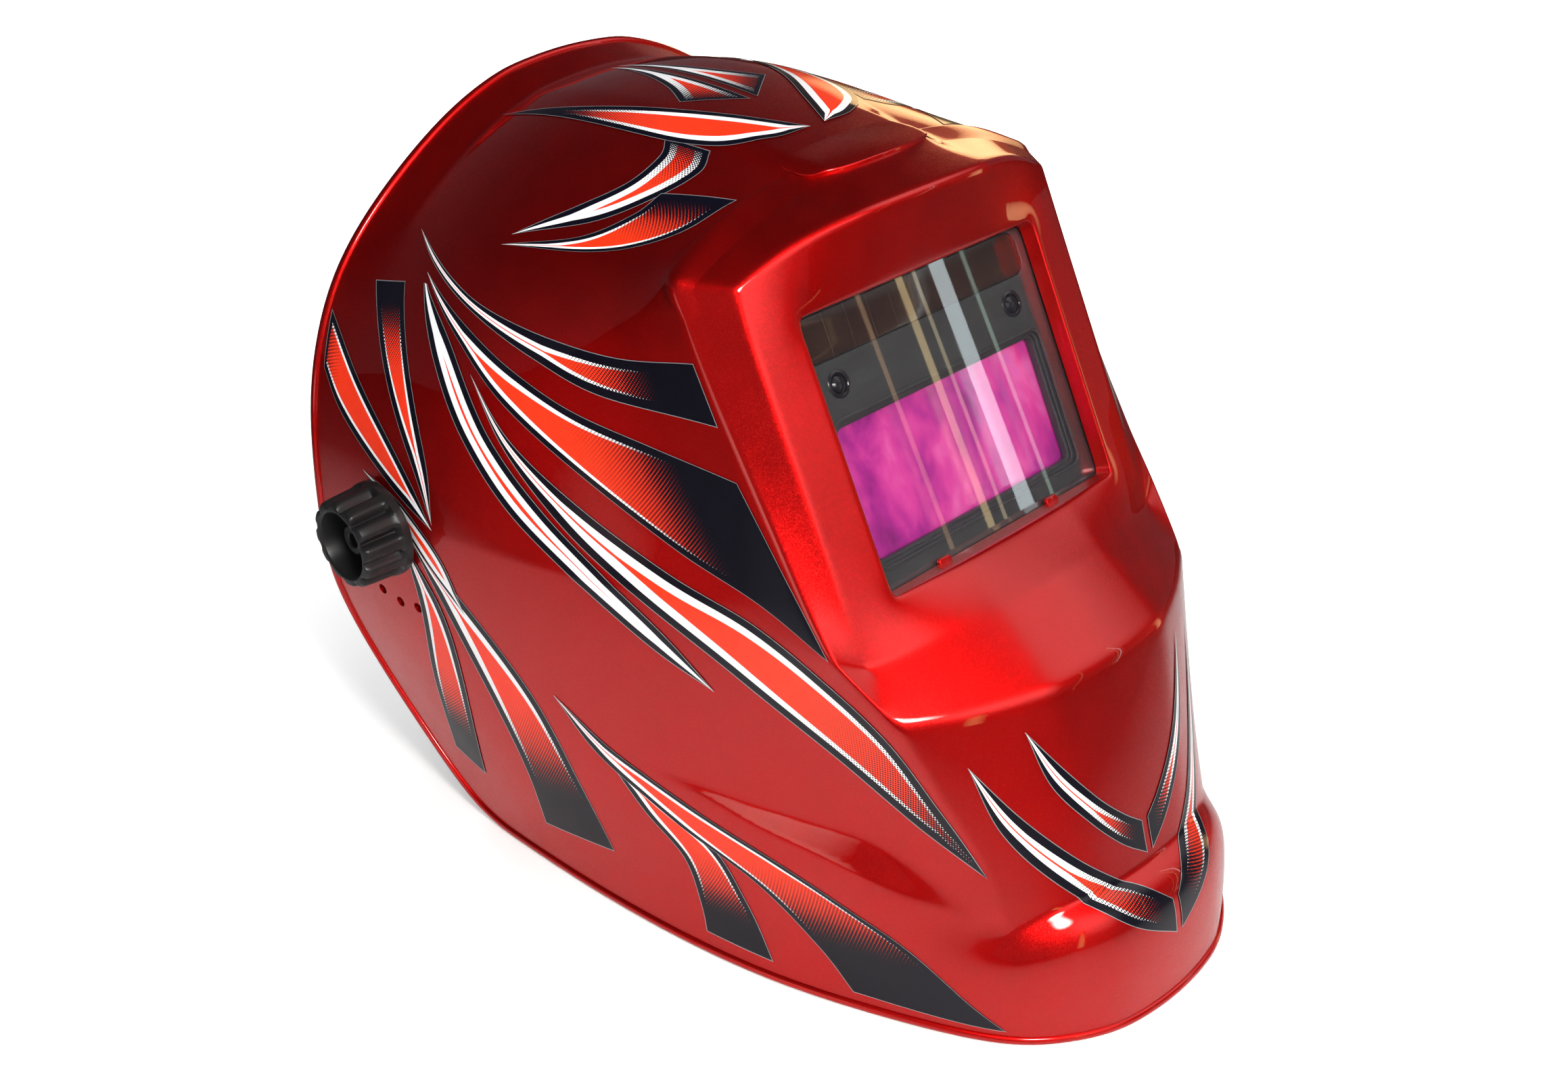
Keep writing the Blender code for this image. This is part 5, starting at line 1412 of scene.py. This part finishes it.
def ring(a, off=0.0):
    """Point of the headband at angle a (degrees, 0 at +X, 90 rear, -90 front) and its outward normal."""
    t = math.radians(a)
    b = RING_A if math.sin(t) > 0 else RING_B
    x, y = RING_A * math.cos(t), b * math.sin(t)
    nx, ny = x / RING_A ** 2, y / b ** 2
    ln = math.hypot(nx, ny)
    return x + off * nx / ln, RING_Y + y + off * ny / ln, Vector((nx / ln, ny / ln, 0))


def strap_profile(t, h, bead=0.35, edge=2.2, r=0.5):
    """Section of a moulded strap: thickness t, height h, with a raised bead along both edges (mm)."""
    u, v = t / 2, h / 2
    pts = []
    side = [(-v + r, u), (-v + edge * 0.35, u), (-v + edge, u), (-v + edge * 1.25, u - bead), (v - edge * 1.25, u - bead), (v - edge, u),
            (v - edge * 0.35, u), (v - r, u)]
    for vv, uu in side:
        pts.append((uu, vv))
    for k in range(1, 4):
        a = math.radians(90 - 90 * k / 4)
        pts.append((u - r + r * math.sin(a), v - r + r * math.cos(a)))
    for k in range(1, 4):
        a = math.radians(90 * k / 4)
        pts.append((-(u - r) - r * math.sin(a) , v - r + r * math.cos(a)))
    pts.append((-u, v - r - 0.4))
    pts.append((-u, -v + r + 0.4))
    for k in range(1, 4):
        a = math.radians(90 - 90 * k / 4)
        pts.append((-(u - r) - r * math.sin(a), -(v - r) - r * math.cos(a)))
    for k in range(1, 4):
        a = math.radians(90 * k / 4)
        pts.append(((u - r) + r * math.sin(a), -(v - r) - r * math.cos(a)))
    return [(a * MM, b * MM) for a, b in pts]


def sweep(name, stations, profile, mat, body, nodes=(), slot="strap_plastic", sharp=40):
    """Sweep a section through (centre, outward, across, scale) stations given in mm; scale acts across."""
    centres = [place(*c) for c, _, _, _ in stations]
    bm = bmesh.new()
    rings = []
    for c, (_, u, v, k) in zip(centres, stations):
        kk = k if isinstance(k, tuple) else (1.0, k)
        rings.append([bm.verts.new(c + Vector(u) * a * kk[0] + Vector(v) * b * kk[1]) for a, b in profile])
    n = len(profile)
    for r0, r1 in zip(rings[:-1], rings[1:]):
        for j in range(n):
            bm.faces.new((r0[j], r0[(j + 1) % n], r1[(j + 1) % n], r1[j]))
    bm.faces.new(rings[0][::-1])
    bm.faces.new(rings[-1])
    bmesh.ops.recalc_face_normals(bm, faces=bm.faces)
    me = bpy.data.meshes.new(name)
    bm.to_mesh(me)
    bm.free()
    ob = link(name, me)
    smooth_by_angle(ob, sharp)
    me.materials.append(mat)
    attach(ob, body)
    if nodes:
        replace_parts(ob, *nodes)
    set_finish(ob, slot)
    return ob


def punch(ob, cylinders, n=20):
    """Cut round holes; each entry is (matrix, radius, low, high)."""
    bm = bmesh.new()
    for m, r, h0, h1 in cylinders:
        cylinder(bm, m, r, h0, h1, n)
    bmesh.ops.recalc_face_normals(bm, faces=bm.faces)
    me = bpy.data.meshes.new("punch")
    bm.to_mesh(me)
    bm.free()
    me.materials.append(ob.data.materials[0])
    cutter = link("punch", me)
    mod = ob.modifiers.new("holes", 'BOOLEAN')
    mod.operation = 'DIFFERENCE'
    mod.solver = 'EXACT'
    mod.object = cutter
    bake(ob)
    bpy.data.objects.remove(cutter, do_unlink=True)
    return smooth_by_angle(ob, 40)


def radial(a, off, z):
    """Local +Z outwards along the band's normal."""
    x, y, nor = ring(a, off)
    return Matrix.Translation(place(x, y, z)) @ nor.to_track_quat('Z', 'Y').to_matrix().to_4x4()


UP = Vector((0, 0, 1))
st = []
for i in range(161):
    a = -218 + 256 * i / 160
    x, y, nor = ring(a, 0)
    st.append(((x, y, BAND_Z), nor, UP, 1.0))
front_band = sweep("headband_loop", st, strap_profile(2.0, 22.0), M_STRAP, "headband", ("headband_front",))
holes = []
for s in (-1, 1):
    for i in range(5):
        a = 36 - 5.2 * i if s > 0 else 144 + 5.2 * i
        holes.append((radial(a, 0, BAND_Z), 1.5, -4, 4))
for i in range(15):
    a = -90 + (i - 7) * 9.5
    holes.append((radial(a, 0, BAND_Z + 6.0), 1.3, -4, 4))
    holes.append((radial(a, 0, BAND_Z - 6.0), 1.3, -4, 4))
punch(front_band, holes, 16)

# crown straps with their row of setting holes
CROWN_Y, CROWN_W, CROWN_H, CROWN_BASE = 174.0, 78.6, 98.0, -57.0


def crown_at(side, lift, deg):
    t = math.radians(deg)
    k = max(0.0, min(1.0, (deg - 60) / 25))
    k = k * k * (3 - 2 * k)
    x = side * CROWN_W * math.cos(t)
    z = CROWN_BASE + (CROWN_H + lift * k) * math.sin(t)
    nor = Vector((side * math.cos(t) / CROWN_W, 0, math.sin(t) / CROWN_H)).normalized()
    return x, z, nor


for side, nm, lift in ((-1, "right", 0.0), (1, "left", 2.0)):
    st = []
    for i in range(91):
        d = 4 + 93 * i / 90
        x, z, nor = crown_at(side, lift, d)
        st.append(((x, CROWN_Y, z), nor, Vector((0, 1, 0)), (10 - 1.5 * math.sin(math.radians(d))) / 10))
    strap = sweep("crown_strap_%s_form" % nm, st, strap_profile(1.5, 20.0, 0.25, 2.4, 0.4), M_STRAP, "headband", ("crown_strap_" + nm,))
    holes = []
    for i in range(7):
        d = 90 - 6.2 * i
        x, z, nor = crown_at(side, lift, d)
        m = Matrix.Translation(place(x, CROWN_Y, z)) @ nor.to_track_quat('Z', 'Y').to_matrix().to_4x4()
        holes.append((m, 3.0 if i == 0 else 2.1, -4, 4))
    punch(strap, holes, 20)
    # rivet that joins the crown strap to the band
    m = Matrix.Translation(place(side * 77.2, CROWN_Y, -51.5)) @ Vector((-side, 0, 0)).to_track_quat('Z', 'Y').to_matrix().to_4x4()
    revolve("strap_rivet_" + nm, [(0, 1.3), (1.6, 1.25), (3.0, 0.9), (3.8, 0.3), (3.9, 0.0), (1.6, -0.02), (1.6, -5.0), (0, -5.0)], m, M_BLACK, 36, body="headband", slot="black_plastic")
    m = Matrix.Translation(place(side * 85.75, 203.0, -57)) @ Vector((side, 0, 0)).to_track_quat('Z', 'Y').to_matrix().to_4x4()
    revolve("rail_rivet_" + nm, [(0, 0.9), (1.4, 0.85), (2.4, 0.55), (2.9, 0.1), (2.9, -0.1)], m, M_BLACK, 30, body="headband", slot="black_plastic")
peg_z = CROWN_BASE + CROWN_H
pm = Matrix.Translation(place(0, CROWN_Y, 0))
revolve("crown_button", [(0, peg_z + 5.4), (2.2, peg_z + 5.4), (3.2, peg_z + 5.25), (4.6, peg_z + 5.1), (5.3, peg_z + 4.7), (5.6, peg_z + 4.1),
                         (5.6, peg_z + 3.2), (2.6, peg_z + 3.2), (2.6, peg_z - 1.2), (4.5, peg_z - 1.2), (4.5, peg_z - 1.7), (3.6, peg_z - 2.6), (0, peg_z - 2.6)],
        pm, M_BLACK, 48, body="headband", nodes=("crown_peg",), slot="black_plastic")

# rear straps with their ribs
for side, nm, lane in ((-1, "right", -1), (1, "left", 1)):
    st = []
    n = 100
    prof = strap_profile(1.6, 15.0, 0.2, 1.6, 0.4)

    def rear_at(a):
        k = max(0.0, min(1.0, (a - 29) / 30.0))
        k = k * k * (3 - 2 * k)
        k2 = max(0.0, min(1.0, (a - 53) / 10.0))
        k2 = k2 * k2 * (3 - 2 * k2)
        return BAND_Z + (NAPE_Z - BAND_Z) * k + lane * 7.2 * k2, 7.5 - 4.2 * k2

    for i in range(n + 1):
        a = 27 + 72 * i / n
        z, half = rear_at(a)
        x, y, nor = ring(a, 2.3)
        st.append(((side * x, y, z), Vector((side * nor.x, nor.y, 0)), UP, half / 7.5))
    sweep("rear_strap_%s_form" % nm, st, prof, M_STRAP, "strap_" + nm, ("rear_strap_" + nm,))
    ribs = []
    for i in range(20):
        a = 66 + 1.62 * i
        z, half = rear_at(a)
        x, y, nor = ring(a, 2.3 + 0.8)
        nor = Vector((side * nor.x, nor.y, 0))
        m = Matrix.Translation(place(side * x, y, z)) @ nor.to_track_quat('Z', 'Y').to_matrix().to_4x4()
        ribs.append(slab("rib", [rounded(-0.45, 0.45, -2.2, 2.2, 0.3)], -0.25, 0.35, m, M_STRAP, 0.12, body="strap_" + nm, slot="strap_plastic"))
    join("rear_strap_%s_ribs" % nm, ribs)

# ratchet knob and the screws of its housing
rm = Matrix.Translation(place(0, RING_Y, NAPE_Z)) @ Matrix.Rotation(math.radians(-90), 4, 'X')
revolve("ratchet_grip", [(0, 102.2), (8.4, 102.2), (9.2, 102.5), (11.0, 104.2), (11.8, 104.6), (13.6, 104.6, 0.3), (15.0, 104.2, 0.8), (15.9, 103.2, 1),
                         (16.2, 101.8, 1), (16.3, 96.0, 1), (16.3, 91.6, 1), (15.9, 90.2, 1), (15.0, 89.4, 0.8), (13.5, 89.3, 0.3), (3.1, 89.3), (3.1, 96.0), (0, 96.0)],
        rm, M_BLACK, 200, lambda a: -0.9 * math.cos(10 * a), body="ratchet", nodes=("ratchet_knob",), slot="black_plastic", sharp=34)
for i in range(4):
    bar = rm @ Matrix.Rotation(math.radians(45 + 90 * i), 4, 'Z')
    slab("ratchet_spoke_%d" % (i + 1), [rounded(-0.9, 0.9, 2.6, 8.0, 0.8)], 102.1, 102.9, bar, M_BLACK, 0.25, body="ratchet", slot="black_plastic")
for sx, nm in ((-1, "right"), (1, "left")):
    m = Matrix.Translation(place(0, RING_Y, NAPE_Z)) @ Matrix.Rotation(math.radians(-sx * 13.4), 4, 'Z') @ Matrix.Rotation(math.radians(-90), 4, 'X')
    for j, zz in enumerate((-9.8, 9.8)):
        ms = m @ Matrix.Translation((0, -zz * MM, 88.4 * MM))
        revolve("housing_screw_%s_%d" % (nm, j + 1), [(0, 0.2), (0.45, 0.2), (0.55, 0.6), (1.2, 0.55), (1.6, 0.25), (1.65, -0.1)], ms, M_NICKEL, 24, body="headband", slot="nickel")


# ---------------------------------------------------------------- padded cloth parts
def padded(name, a0, a1, off, thick, half, zc, limit, node, rows):
    """Foam pad under cloth: inflated by a cloth simulation, then sewn channels, binding and stitches."""
    def span_of(b0, b1):
        n = max(12, int(abs(b1 - b0) * 1.45 / 2.4))
        return [b0 + (b1 - b0) * i / n for i in range(n + 1)]

    inset = 0.9
    ti, hi = thick / 2 - 0.75, half - inset
    prof = []
    for i in range(40):
        t = 2 * math.pi * i / 40
        c, s = math.cos(t), math.sin(t)
        prof.append((ti * math.copysign(abs(c) ** 0.5, c) * MM, hi * math.copysign(abs(s) ** 0.28, s) * MM))
    centres, frames = [], []
    for a in span_of(a0 + 0.8, a1 - 0.8):
        x, y, nor = ring(a, off)
        centres.append(place(x, y, zc))
        frames.append((nor, UP))
    ob = tube(name, centres, frames, prof, closed=False)
    rem = ob.modifiers.new("even", 'REMESH')
    rem.mode = 'VOXEL'
    rem.voxel_size = 0.0021
    bake(ob)
    rest = np.array([v.co for v in ob.data.vertices], float)
    mod = ob.modifiers.new("cloth", 'CLOTH')
    s = mod.settings
    s.quality = 5
    s.mass = 0.2
    s.use_pressure = True
    s.uniform_pressure_force = 4.0
    s.tension_stiffness = s.compression_stiffness = 12
    s.bending_stiffness = 0.4
    s.effector_weights.gravity = 0.0
    mod.collision_settings.use_collision = False
    mod.collision_settings.use_self_collision = False
    sc = bpy.context.scene
    sc.frame_start, sc.frame_end = 1, 20
    mod.point_cache.frame_start, mod.point_cache.frame_end = 1, 20
    for fr in range(1, 21):
        sc.frame_set(fr)
    dg = bpy.context.evaluated_depsgraph_get()
    ev = ob.evaluated_get(dg).to_mesh()
    co = np.array([v.co for v in ev.vertices], float)
    ob.modifiers.clear()
    sc.frame_set(1)
    d = co - rest
    ln = np.linalg.norm(d, axis=1)
    cap = 0.0013
    d *= np.where(ln > cap, cap / np.maximum(ln, 1e-12), 1.0)[:, None]
    co = rest + d
    # sewn channels on the side that meets the head, and a limit towards the band
    arc = math.radians(a1 - a0)
    for i in range(len(co)):
        x, y = co[i][0] / MM, (co[i][1] - OPENING_Y) / MM - RING_Y
        z = (co[i][2] - OPENING_Z) / MM - zc
        b = RING_A if y > 0 else RING_B
        g = Vector((x / RING_A ** 2, y / b ** 2, 0))
        f = math.sqrt(max(1e-9, (x / RING_A) ** 2 + (y / b) ** 2))
        o = (f - 1) / max(g.length, 1e-9) * f
        nor = g.normalized()
        ang = math.degrees(math.atan2(y / b, x / RING_A))
        inner = 1.0 if o < off else 0.0
        depth = 0.0
        for zr in rows:
            depth = max(depth, math.exp(-((z - zr) / 1.1) ** 2))
        pitch = 10.5
        u = ((ang - a0) / pitch) % 1.0
        u = min(u, 1 - u) * pitch * 1.55
        if rows and abs(z) < abs(rows[0]):
            depth = max(depth, math.exp(-(u / 1.0) ** 2))
        # slightly puffed between the channels
        move = inner * depth * 0.95
        move -= inner * 0.25 * (1 - (z / half) ** 2)
        co[i][0] += nor.x * move * MM
        co[i][1] += nor.y * move * MM
        o2 = o + move
        if o2 > limit:
            co[i][0] -= nor.x * (o2 - limit) * MM
            co[i][1] -= nor.y * (o2 - limit) * MM
    for v, c in zip(ob.data.vertices, co):
        v.co = c
    sub = ob.modifiers.new("fine", 'SUBSURF')
    sub.levels = sub.render_levels = 1
    bake(ob)
    for p in ob.data.polygons:
        p.use_smooth = True
    ob.data.materials.clear()
    ob.data.materials.append(M_CLOTH)
    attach(ob, "headband")
    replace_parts(ob, node)
    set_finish(ob, "soft_foam")
    # binding round the edge
    loop = []
    ends = span_of(a0 + 1.2, a1 - 1.2)
    for a in ends:
        x, y, nor = ring(a, off - 0.1)
        loop.append((place(x, y, zc + half - 0.6), nor))
    for k in range(1, 14):
        x, y, nor = ring(a1 - 0.55, off - 0.1)
        loop.append((place(x, y, zc + (half - 1.6) * math.cos(math.pi * k / 14)), nor))
    for a in reversed(ends):
        x, y, nor = ring(a, off - 0.1)
        loop.append((place(x, y, zc - half + 0.6), nor))
    for k in range(1, 14):
        x, y, nor = ring(a0 + 0.55, off - 0.1)
        loop.append((place(x, y, zc - (half - 1.6) * math.cos(math.pi * k / 14)), nor))
    cs, fr = [], []
    m = len(loop)
    for i, (p, nor) in enumerate(loop):
        t = (loop[(i + 1) % m][0] - loop[i - 1][0]).normalized()
        cs.append(p)
        fr.append((nor, t.cross(nor).normalized()))
    binding = tube(name + "_binding", cs, fr, [(a * 1.25, b * 0.8) for a, b in round_profile(0.0011, 10)])
    binding.data.materials.append(M_PIPING)
    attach(binding, "headband")
    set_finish(binding, "soft_foam")
    # stitches along the sewn rows
    bm = bmesh.new()
    for zr in rows:
        n = int(abs(math.radians(a1 - a0)) * 92 / 3.6)
        for i in range(1, n):
            a = a0 + (a1 - a0) * i / n
            x, y, nor = ring(a, off - thick / 2 + 0.95 - 0.62)
            x2, y2, _ = ring(a + 0.6, off)
            x3, y3, _ = ring(a - 0.6, off)
            t = Vector((x2 - x3, y2 - y3, 0)).normalized()
            c = place(x, y, zc + zr)
            rings = []
            for j, (s, r) in enumerate(((-1.0, 0.12), (-0.75, 0.26), (0.0, 0.32), (0.75, 0.26), (1.0, 0.12))):
                rings.append([bm.verts.new(c + t * (s * 1.15 * MM) + (nor * math.cos(2 * math.pi * q / 6) + UP * math.sin(2 * math.pi * q / 6)) * (r * MM)) for q in range(6)])
            for r0, r1 in zip(rings[:-1], rings[1:]):
                for q in range(6):
                    bm.faces.new((r0[q], r0[(q + 1) % 6], r1[(q + 1) % 6], r1[q]))
            bm.faces.new(rings[0][::-1])
            bm.faces.new(rings[-1])
    bmesh.ops.recalc_face_normals(bm, faces=bm.faces)
    for f in bm.faces:
        f.smooth = True
    me = bpy.data.meshes.new(name + "_stitches")
    bm.to_mesh(me)
    bm.free()
    me.materials.append(M_THREAD)
    ob2 = link(name + "_stitches", me)
    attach(ob2, "headband")
    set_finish(ob2, "soft_foam")
    return ob


padded("sweatband_pad", -152, -28, -4.1, 5.4, 17.0, BAND_Z, -1.25, "sweatband", (-11.5, 11.5))
padded("nape_cushion", 62, 118, -5.2, 6.0, 16.0, NAPE_Z, -2.2 - 0.25, "nape_pad", (-10.5, 10.5))


# ---------------------------------------------------------------- stage
def stage_all():
    m = Mat("pale_floor")
    pale = m.mix(m.noise(3, 3, 0.5), rgb(0.86, 0.86, 0.87), rgb(0.90, 0.90, 0.90))
    far = m.span(m.vmath("LENGTH", m.coord()), 0.24, 0.50, 0.0, 1.0)
    lp = m.node("ShaderNodeLightPath")
    m.put(m.bsdf.inputs["Base Color"], m.mix(m.math("MULTIPLY", m.span(far, 0.0, 1.0, 0.30, 1.0), lp.outputs["Is Glossy Ray"]), pale, rgb(0.02, 0.02, 0.022)))
    m.put(m.bsdf.inputs["Roughness"], m.span(m.noise(9, 3, 0.5), 0.3, 0.7, 0.75, 0.85))
    bright = m.math("MULTIPLY", m.span(m.vmath("LENGTH", m.coord()), 0.16, 0.42, 0.25, 1.0), lp.outputs["Is Camera Ray"])
    m.put(m.bsdf.inputs["Emission Color"], rgb(1, 1, 1))
    m.put(m.bsdf.inputs["Emission Strength"], m.math("MULTIPLY", bright, 0.9))
    under = m.node("ShaderNodeMixShader")
    m.put(under.inputs[0], m.node("ShaderNodeNewGeometry").outputs["Backfacing"])
    m.put(under.inputs[1], m.bsdf.outputs[0])
    m.put(under.inputs[2], m.node("ShaderNodeBsdfTransparent").outputs[0])
    m.put(m.out.inputs["Surface"], under.outputs[0])
    bm = bmesh.new()
    n, size = 24, 4.0
    grid = [[bm.verts.new((-size + 2 * size * i / n, -size + 2 * size * j / n, -0.0002)) for j in range(n + 1)] for i in range(n + 1)]
    for i in range(n):
        for j in range(n):
            bm.faces.new((grid[i][j], grid[i + 1][j], grid[i + 1][j + 1], grid[i][j + 1]))
    me = bpy.data.meshes.new("floor")
    bm.to_mesh(me)
    bm.free()
    me.materials.append(m.mat)
    floor = link("floor", me)

    def area(name, loc, target, size, power, color=(1, 1, 1), size_y=None, soft=False):
        li = bpy.data.lights.new(name, 'AREA')
        if soft:
            li.use_nodes = True
            nt = li.node_tree
            em = nt.nodes["Emission"]
            geo = nt.nodes.new("ShaderNodeNewGeometry")
            dist = nt.nodes.new("ShaderNodeVectorMath")
            dist.operation = 'DISTANCE'
            nt.links.new(geo.outputs["Parametric"], dist.inputs[0])
            dist.inputs[1].default_value = (0.5, 0.5, 0.0)
            ease = nt.nodes.new("ShaderNodeMapRange")
            ease.interpolation_type = 'SMOOTHSTEP'
            nt.links.new(dist.outputs["Value"], ease.inputs[0])
            for i, x in enumerate((0.08, 0.5, 2.2, 0.0)):
                ease.inputs[1 + i].default_value = x
            nt.links.new(ease.outputs[0], em.inputs["Strength"])
        li.energy = power
        li.color = color
        li.size = size
        if size_y:
            li.shape = 'RECTANGLE'
            li.size_y = size_y
        ob = bpy.data.objects.new(name, li)
        ob.location = loc
        ob.rotation_mode = 'QUATERNION'
        ob.rotation_quaternion = (Vector(target) - Vector(loc)).to_track_quat('-Z', 'Y')
        SCENE.objects.link(ob)
        return ob

    area("key_soft", (1.05, -0.75, 1.55), (0, -0.05, 0.1), 2.4, 12.0, (1.0, 0.985, 0.96), soft=True)
    area("front_soft", (-0.10, -1.50, 0.85), (0, -0.1, 0.15), 1.5, 4.0, (1.0, 0.98, 0.95), soft=True)
    area("near_camera", (-0.34, -0.66, 0.66), (0, -0.06, 0.12), 0.30, 10.0, (1.0, 0.97, 0.93), soft=True)
    area("floor_wash", (-0.2, 0.2, 2.4), (0, 0, 0), 1.6, 24.0).visible_glossy = False
    area("back_fill", (0.35, 1.55, 0.60), (0, 0.12, 0.12), 0.9, 14.0).visible_glossy = False
    area("left_fill", (-1.30, -0.85, 1.05), (0, 0, 0.08), 0.7, 8.0).visible_glossy = False

    def glow(name, centre, normal, w, h, colour, power, up=(0, 0, 1), soft=False):
        """A bright panel that only shows in reflections."""
        e = Mat(name)
        em = e.node("ShaderNodeEmission")
        e.put(em.inputs[0], e.mix(e.noise(5, 2, 0.5), rgb(*colour), rgb(*[min(1.0, c * 1.1) for c in colour])))
        e.put(em.inputs[1], e.math("MULTIPLY", e.attr("glow"), power))
        e.put(e.out.inputs["Surface"], em.outputs[0])
        nn = Vector(normal).normalized()
        u = Vector(up).cross(nn).normalized()
        v = nn.cross(u)
        c = Vector(centre)
        k = 16
        pts, amounts, quads = [], [], []
        for i in range(k + 1):
            for j in range(k + 1):
                a, b = 2 * i / k - 1, 2 * j / k - 1
                pts.append(tuple(c + u * a * w / 2 + v * b * h / 2))
                amounts.append((math.cos(a * math.pi / 2) * math.cos(b * math.pi / 2)) ** 0.7 if soft else 1.0)
        for i in range(k):
            for j in range(k):
                q = i * (k + 1) + j
                quads.append((q, q + k + 1, q + k + 2, q + 1))
        me = bpy.data.meshes.new(name)
        me.from_pydata(pts, [], quads)
        me.attributes.new("glow", 'FLOAT', 'POINT').data.foreach_set("value", amounts)
        me.materials.append(e.mat)
        ob = link(name, me)
        ob.visible_camera = ob.visible_diffuse = ob.visible_shadow = False
        return ob

    lens_at = place(0, 0, 0)
    out = Vector((0.603, -0.774, 0.195))
    across = out.cross(Vector((0, 0, 1))).normalized()
    lean = Vector((0, 0, 1)) - across * 0.272
    for i, (shift, w, col, power) in enumerate(((-0.205, 0.017, (0.80, 0.92, 1.0), 4.0), (-0.160, 0.008, (1.0, 0.72, 0.38), 3.0),
                                                (-0.178, 0.004, (1.0, 0.80, 0.5), 2.0), (-0.110, 0.005, (1.0, 0.6, 0.35), 1.6),
                                                (-0.236, 0.004, (0.7, 1.0, 0.8), 1.8), (0.24, 0.02, (1.0, 0.6, 0.3), 1.6))):
        glow("streak_%d" % (i + 1), lens_at + out * 1.5 + across * shift, -out, w, 1.5, col, power, lean)
    glow("wedge_glow", (-0.75, -0.09, 0.075), (1.0, 0.0, 0.0), 0.44, 0.16, (1.0, 0.70, 0.62), 3.6, soft=True)
    glow("crown_glow", (0.87, 0.50, 0.33), (-0.82, -0.55, -0.1), 0.38, 0.32, (1.0, 0.60, 0.28), 4.0, soft=True)
    glow("chin_glow_1", (-0.19, -0.80, 0.06), (0.16, 0.96, 0.1), 0.06, 0.50, (1.0, 0.55, 0.22), 5.0, soft=True)
    glow("chin_glow_2", (0.85, -0.50, 0.05), (-0.87, 0.35, 0.1), 0.16, 0.60, (1.0, 0.60, 0.30), 4.0, soft=True)

    w = bpy.data.worlds.new("room")
    bpy.context.scene.world = w
    w.use_nodes = True
    nt = w.node_tree
    bg = nt.nodes["Background"]
    lp = nt.nodes.new("ShaderNodeLightPath")
    tc = nt.nodes.new("ShaderNodeTexCoord")
    sep = nt.nodes.new("ShaderNodeSeparateXYZ")
    nt.links.new(tc.outputs["Generated"], sep.inputs[0])
    ramp = nt.nodes.new("ShaderNodeValToRGB")
    nt.links.new(sep.outputs[2], ramp.inputs[0])
    ramp.color_ramp.elements[0].position = 0.0
    ramp.color_ramp.elements[0].color = (0.10, 0.10, 0.11, 1)
    ramp.color_ramp.elements[1].position = 0.55
    ramp.color_ramp.elements[1].color = (0.02, 0.02, 0.022, 1)
    mix = nt.nodes.new("ShaderNodeMix")
    mix.data_type = 'RGBA'
    nt.links.new(lp.outputs["Is Camera Ray"], mix.inputs[0])
    nt.links.new(ramp.outputs[0], mix.inputs[6])
    mix.inputs[7].default_value = (0.9, 0.9, 0.9, 1)
    nt.links.new(mix.outputs[2], bg.inputs[0])
    bg.inputs[1].default_value = 1.0

    cam = bpy.data.cameras.new("camera")
    cam.lens = 45.04
    cam.sensor_width = 36.0
    cam.sensor_fit = 'HORIZONTAL'
    cam.clip_start, cam.clip_end = 0.01, 50
    ob = bpy.data.objects.new("camera", cam)
    SCENE.objects.link(ob)
    right = Vector((0.707568, -0.706645, 0.0))
    down = Vector((-0.369042, -0.369524, -0.852795))
    fwd = Vector((0.602624, 0.603411, -0.522245))
    rot = Matrix((right, -down, -fwd)).transposed()
    ob.matrix_world = Matrix.Translation((-0.41851, -0.43120, 0.45668)) @ rot.to_4x4()
    bpy.context.scene.camera = ob
    bpy.context.scene.view_settings.view_transform = 'Standard'


stage_all()
bpy.data.objects.remove(outer, do_unlink=True)
